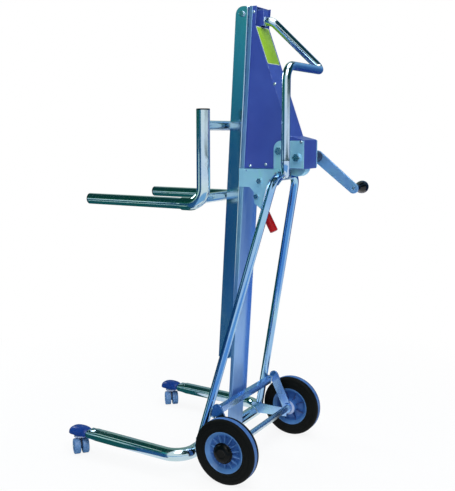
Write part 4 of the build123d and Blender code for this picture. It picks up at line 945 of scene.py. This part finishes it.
# %% Welds of the carriage
CROSS_Y, CROSS_R, CROSS_FROM = AXLE_Y - 118.5, 14.5, 130
CROSS_UPPER_Z, CROSS_LOWER_Z = 1049.0, 835.0
PLATE_BEADS = (18.8, 24.2)
carriage_beads = []
for height in (CROSS_UPPER_Z, CROSS_LOWER_Z):
    for word, side in SIDES:
        carriage_beads += foot_beads((side * CROSS_FROM, CROSS_Y, height), (side, 0, 0), CROSS_R,
                                     ("fork_upright_" + word,))
        carriage_beads += [bead(arc(side * x, CROSS_Y, height, CROSS_R + 0.4, -40, 40), radius=THIN_BEAD_R)
                           for x in PLATE_BEADS]
make_piece("carriage_welds", carriage_beads, ("weld",), "carriage", (), 60)
print(len(carriage_beads), "beads on the carriage")

# %% [markdown]
# ## Wire rope
# The lifting rope has six strands laid round each other. Behind the column it runs from the drum over the
# pulley and stays with the frame; in the rail it runs down to the carriage, and that run rides on no body.

# %% Rope strands
STRANDS, STRAND_R, LAY_R, LAY_MM = 6, 0.86, 1.62, 18.0
ROPE_STEP = 1.5
ACROSS = Vector((1, 0, 0))


def on_mast(back, up):
    """A point behind the mast's joint plane and up along the mast."""
    return Vector((0, AXLE_Y + JOINT_BACK + back * math.cos(MAST_LEAN) + up * math.sin(MAST_LEAN),
                   up * math.cos(MAST_LEAN) - back * math.sin(MAST_LEAN)))


def strands(path):
    """Six strands laid round a path that stays in the stacker's middle plane."""
    path = evenly(path, ROPE_STEP)
    section = [(STRAND_R * a, STRAND_R * b) for a, b in ROUND[::2]]
    shapes = []
    for strand in range(STRANDS):
        line = []
        for index, point in enumerate(path):
            way = (path[min(index + 1, len(path) - 1)] - path[max(index - 1, 0)]).normalized()
            turn = 2 * math.pi * (strand / STRANDS + index * ROPE_STEP / LAY_MM)
            line.append(point + ACROSS * LAY_R * math.cos(turn) + way.cross(ACROSS) * LAY_R * math.sin(turn))
        shapes.append(swept(line, lambda index: section))
    return shapes


print("rope of", STRANDS, "strands,", 2 * (LAY_R + STRAND_R), "mm across")

# %% Front and rear runs of the rope
PULLEY_S, PULLEY_BACK, PULLEY_LAY, DRUM_LAY = 1374.0, -22, 20.3, 24.8
ANCHOR_S = CROSS_UPPER_Z / math.cos(MAST_LEAN) - 62
OVER_STEPS = 24
rope_back = PULLEY_BACK - PULLEY_LAY
rope_top, rope_end = on_mast(rope_back, PULLEY_S), on_mast(rope_back, ANCHOR_S)
rope = make_piece("rope_front", strands([rope_top, rope_end]), ("wire_rope",), None,
                  ("cable_front",), 60)
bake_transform(rope)

pulley = on_mast(PULLEY_BACK, PULLEY_S)
drum = Vector((0, AXLE_Y + DRUM_BACK, DRUM_Z))
reach = pulley - drum
leave = math.pi - MAST_LEAN
lay = math.atan2(reach.z, reach.y) - math.acos(-(DRUM_LAY + PULLEY_LAY) / reach.length)
over = [lay + (leave - lay) * i / OVER_STEPS for i in range(OVER_STEPS + 1)]
rear_path = [drum - Vector((0, math.cos(lay), math.sin(lay))) * DRUM_LAY]
rear_path += [pulley + Vector((0, math.cos(a), math.sin(a))) * PULLEY_LAY for a in over]
make_piece("rope_rear", strands(rear_path), ("wire_rope",), "frame",
           ("cable_rear",), 60)
print("front run of the rope", round((rope_top - rope_end).length), "mm")

# %% [markdown]
# ## Studio
# The picture has a plain white ground. The floor and the world show white to the camera and to polished
# metal, and the floor keeps a soft shadow near the stacker. Polished zinc shows what stands round it, so
# coloured walls stand out of view, seen only in reflections: navy, teal and green on the fork side, and
# sky blue behind the far side. The lamps are large, soft and plain.

# %% World
def seen_share(tree, first, *others):
    """1 for a ray of one of these kinds, and 0 for light that falls on other things."""
    sight = add_node(tree, "ShaderNodeLightPath")
    share = sight.outputs[first]
    for ray in others:
        share = add_node(tree, "ShaderNodeMath", {"operation": "MAXIMUM"},
                         {0: share, 1: sight.outputs[ray]}).outputs["Value"]
    return share


world = bpy.data.worlds.new("studio")
bpy.context.scene.world = world
world.use_nodes = True
tree = world.node_tree
tree.nodes.clear()
seen = seen_share(tree, "Is Camera Ray", "Is Glossy Ray", "Is Transmission Ray")
ambient = add_node(tree, "ShaderNodeBackground", None, {"Color": srgb("#C9D3E0"), "Strength": 0.75})
white = add_node(tree, "ShaderNodeBackground", None, {"Color": srgb("#FFFFFF"), "Strength": 1.0})
both = add_node(tree, "ShaderNodeMixShader", None,
                {0: seen, 1: ambient.outputs[0], 2: white.outputs[0]})
add_node(tree, "ShaderNodeOutputWorld", None, {"Surface": both.outputs[0]})
print("white world")

# %% Floor
FLOOR_HALF, FLOOR_Z = 12.0, -0.0005
SHADOW_NEAR, SHADOW_FAR, SHADOW_WHITE = 0.7, 1.7, 0.88


def empty_material(name):
    """A material with no nodes yet."""
    material = bpy.data.materials.new(name)
    material.use_nodes = True
    material.node_tree.nodes.clear()
    return material, material.node_tree


def stage_piece(name, points, faces, material):
    """A surface of the studio, which is no part of the stacker."""
    mesh = bpy.data.meshes.new(name)
    mesh.from_pydata(points, [], faces)
    mesh.materials.append(material)
    obj = bpy.data.objects.new(name, mesh)
    bpy.context.collection.objects.link(obj)
    obj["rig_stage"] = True
    return obj


material, tree = empty_material("pale studio floor")
seen = seen_share(tree, "Is Camera Ray", "Is Glossy Ray")
spot = add_node(tree, "ShaderNodeNewGeometry")
away = add_node(tree, "ShaderNodeVectorMath", {"operation": "LENGTH"}, {0: spot.outputs["Position"]})
fade = add_node(tree, "ShaderNodeMapRange", None,
                {"Value": away.outputs["Value"], "From Min": SHADOW_NEAR, "From Max": SHADOW_FAR,
                 "To Min": SHADOW_WHITE, "To Max": 1.0})
share = add_node(tree, "ShaderNodeMath", {"operation": "MULTIPLY"},
                 {0: seen, 1: fade.outputs["Result"]})
matt = add_node(tree, "ShaderNodeBsdfDiffuse", None, {"Color": srgb("#F2F2F0")})
glow = add_node(tree, "ShaderNodeEmission", None, {"Color": srgb("#FFFFFF"), "Strength": 1.0})
both = add_node(tree, "ShaderNodeMixShader", None,
                {0: share.outputs["Value"], 1: matt.outputs[0], 2: glow.outputs[0]})
add_node(tree, "ShaderNodeOutputMaterial", None, {"Surface": both.outputs[0]})
corners = [(x * FLOOR_HALF, y * FLOOR_HALF, FLOOR_Z) for x, y in ((-1, -1), (1, -1), (1, 1), (-1, 1))]
stage_piece("floor", corners, [(0, 1, 2, 3)], material)
print("white ground with a soft shadow")

# %% A surface that only the zinc mirrors
WALL_FAR = 4.0
WALL_LOW, WALL_HIGH = 0.0, 3.6
GROUND_Z = 0.003


def mirrored(name, points, faces, stops):
    """A surface seen only in reflections; stops are (height in metres, colour)."""
    material, tree = empty_material(name)
    spot = add_node(tree, "ShaderNodeNewGeometry")
    rise = add_node(tree, "ShaderNodeSeparateXYZ", None, {0: spot.outputs["Position"]})
    height = add_node(tree, "ShaderNodeMapRange", None,
                      {"Value": rise.outputs["Z"], "From Min": WALL_LOW, "From Max": WALL_HIGH})
    fade = add_node(tree, "ShaderNodeValToRGB", None, {"Fac": height.outputs["Result"]},
                    [((z - WALL_LOW) / (WALL_HIGH - WALL_LOW), srgb(colour)) for z, colour in stops])
    glow = add_node(tree, "ShaderNodeEmission", None, {"Color": fade.outputs["Color"], "Strength": 1.0})
    add_node(tree, "ShaderNodeOutputMaterial", None, {"Surface": glow.outputs[0]})
    obj = stage_piece(name, points, faces, material)
    obj.visible_camera = False
    obj.visible_diffuse = False
    obj.visible_shadow = False
    obj.visible_transmission = False


def sector(first, last, inner, outer, inner_z, outer_z):
    """Points and faces of a band between two circles, from one azimuth to another."""
    angles = [math.radians(a) for a in range(first, last + 1, 5)]
    points = [(r * math.cos(a), r * math.sin(a), z) for a in angles
              for r, z in ((inner, inner_z), (outer, outer_z))]
    return points, [(2 * i, 2 * i + 1, 2 * i + 3, 2 * i + 2) for i in range(len(angles) - 1)]


def plain(colour):
    """One colour at every height."""
    return [(WALL_LOW, colour), (WALL_HIGH, colour)]


print("walls stand", WALL_FAR, "m away and reach up to", WALL_HIGH, "m")

# %% Walls, ceilings and ground
WALLS = [
    ("teal wall beside the mast", -30, -5, WALL_LOW,
     [(0.0, "#2A5A86"), (0.9, "#205E84"), (1.7, "#42A0A6"), (2.2, "#48A89E"), (3.5, "#0E4A3C")]),
    ("green wall on the fork side", -125, -30, WALL_LOW,
     [(0.0, "#12345E"), (0.8, "#1B4E74"), (1.2, "#17604E"), (2.0, "#0E4A38"), (3.5, "#0B4034")]),
    ("grey green wall in front", -165, -125, WALL_LOW, [(0.0, "#6E8C92"), (3.5, "#A4B8A8")]),
    ("sky wall on the far side", 135, 195, WALL_LOW,
     [(0.0, "#345F98"), (1.2, "#3C669E"), (2.2, "#5684BA"), (3.5, "#8DBBE2")]),
    ("green wall behind the operator", 55, 140, 1.25, plain("#0F3F3C")),
]
LEVELS = [
    ("green ceiling over the forks", -120, -5, 0.4, WALL_FAR, WALL_HIGH, "#0B4038"),
    ("grey green ceiling in front", -180, -120, 0.4, WALL_FAR, WALL_HIGH, "#7E9A90"),
    ("green ceiling behind the operator", 55, 175, 0.9, WALL_FAR, WALL_HIGH, "#123F48"),
    ("green ground before the forks", -150, -30, 0.35, WALL_FAR, GROUND_Z, "#1C5A58"),
    ("blue ground beside the column", -30, -5, 0.35, WALL_FAR, GROUND_Z, "#2F6090"),
    ("sky ground beside the camera", -5, 95, 0.6, 2.3, GROUND_Z, "#8CBCE8"),
    ("navy mat on the far side", 140, 205, 2.0, WALL_FAR, GROUND_Z, "#22408C"),
]
for name, first, last, low, stops in WALLS:
    mirrored(name, *sector(first, last, WALL_FAR, WALL_FAR, low, WALL_HIGH), stops)
for name, first, last, inner, outer, z, colour in LEVELS:
    mirrored(name, *sector(first, last, inner, outer, z, z), plain(colour))
print(len(WALLS), "walls and", len(LEVELS), "ceilings and grounds")

# %% Sheet and strips close to the stacker
SHEET_Z = 0.95
SHEET = [(0.08, 0.18), (1.58, 1.38), (0.29, 2.2), (0.02, 0.52)]
STRIP_X, STRIP_FROM, STRIP_TO = 1.05, -0.66, -1.5
STRIPS = [("mint strip level with the tines", 0.71, 0.94, "#E0F8EC"),
          ("mint strip level with the legs", 0.02, 0.24, "#D8F4E6")]
mirrored("green sheet below the handle arm", [(x, y, SHEET_Z) for x, y in SHEET], [(0, 1, 2, 3)],
         plain("#0F3F3C"))
for name, low, high, colour in STRIPS:
    corners = [(STRIP_FROM, low), (STRIP_TO, low), (STRIP_TO, high), (STRIP_FROM, high)]
    mirrored(name, [(STRIP_X, y, z) for y, z in corners], [(0, 1, 2, 3)], plain(colour))
print("one sheet and", len(STRIPS), "strips")

# %% Lamps
LAMP_AIM = Vector((0, 0.1, 0.75))


def lamp(name, azimuth, elevation, distance, size, power, colour):
    """A square soft lamp aimed at the stacker's middle."""
    data = bpy.data.lights.new(name, "AREA")
    data.shape = "SQUARE"
    data.size = size
    data.energy = power
    data.color = srgb(colour)[:3]
    obj = bpy.data.objects.new(name, data)
    a, e = math.radians(azimuth), math.radians(elevation)
    away = Vector((math.cos(a) * math.cos(e), math.sin(a) * math.cos(e), math.sin(e)))
    obj.location = LAMP_AIM + away * distance
    obj.rotation_mode = "QUATERNION"
    obj.rotation_quaternion = away.to_track_quat("Z", "Y")
    obj.visible_camera = False
    bpy.context.collection.objects.link(obj)


lamp("key softbox by the camera", 40, 48, 3.2, 1.5, 48, "#FFFFFF")
lamp("fill softbox on the fork side", -95, 22, 3.0, 1.0, 22, "#F4FAFF")
lamp("top softbox", 120, 78, 2.8, 1.8, 30, "#FFFFFF")
print("three soft lamps")

# %% [markdown]
# ## View and size
# The view transform stays Standard, so that a colour looks as it is written. The last line prints
# the size of the dressed stacker's box.

# %% Sizes and the end
bpy.context.scene.view_settings.view_transform = "Standard"
low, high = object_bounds()
print("dressed box in mm:", [round(v / MM) for v in high - low])
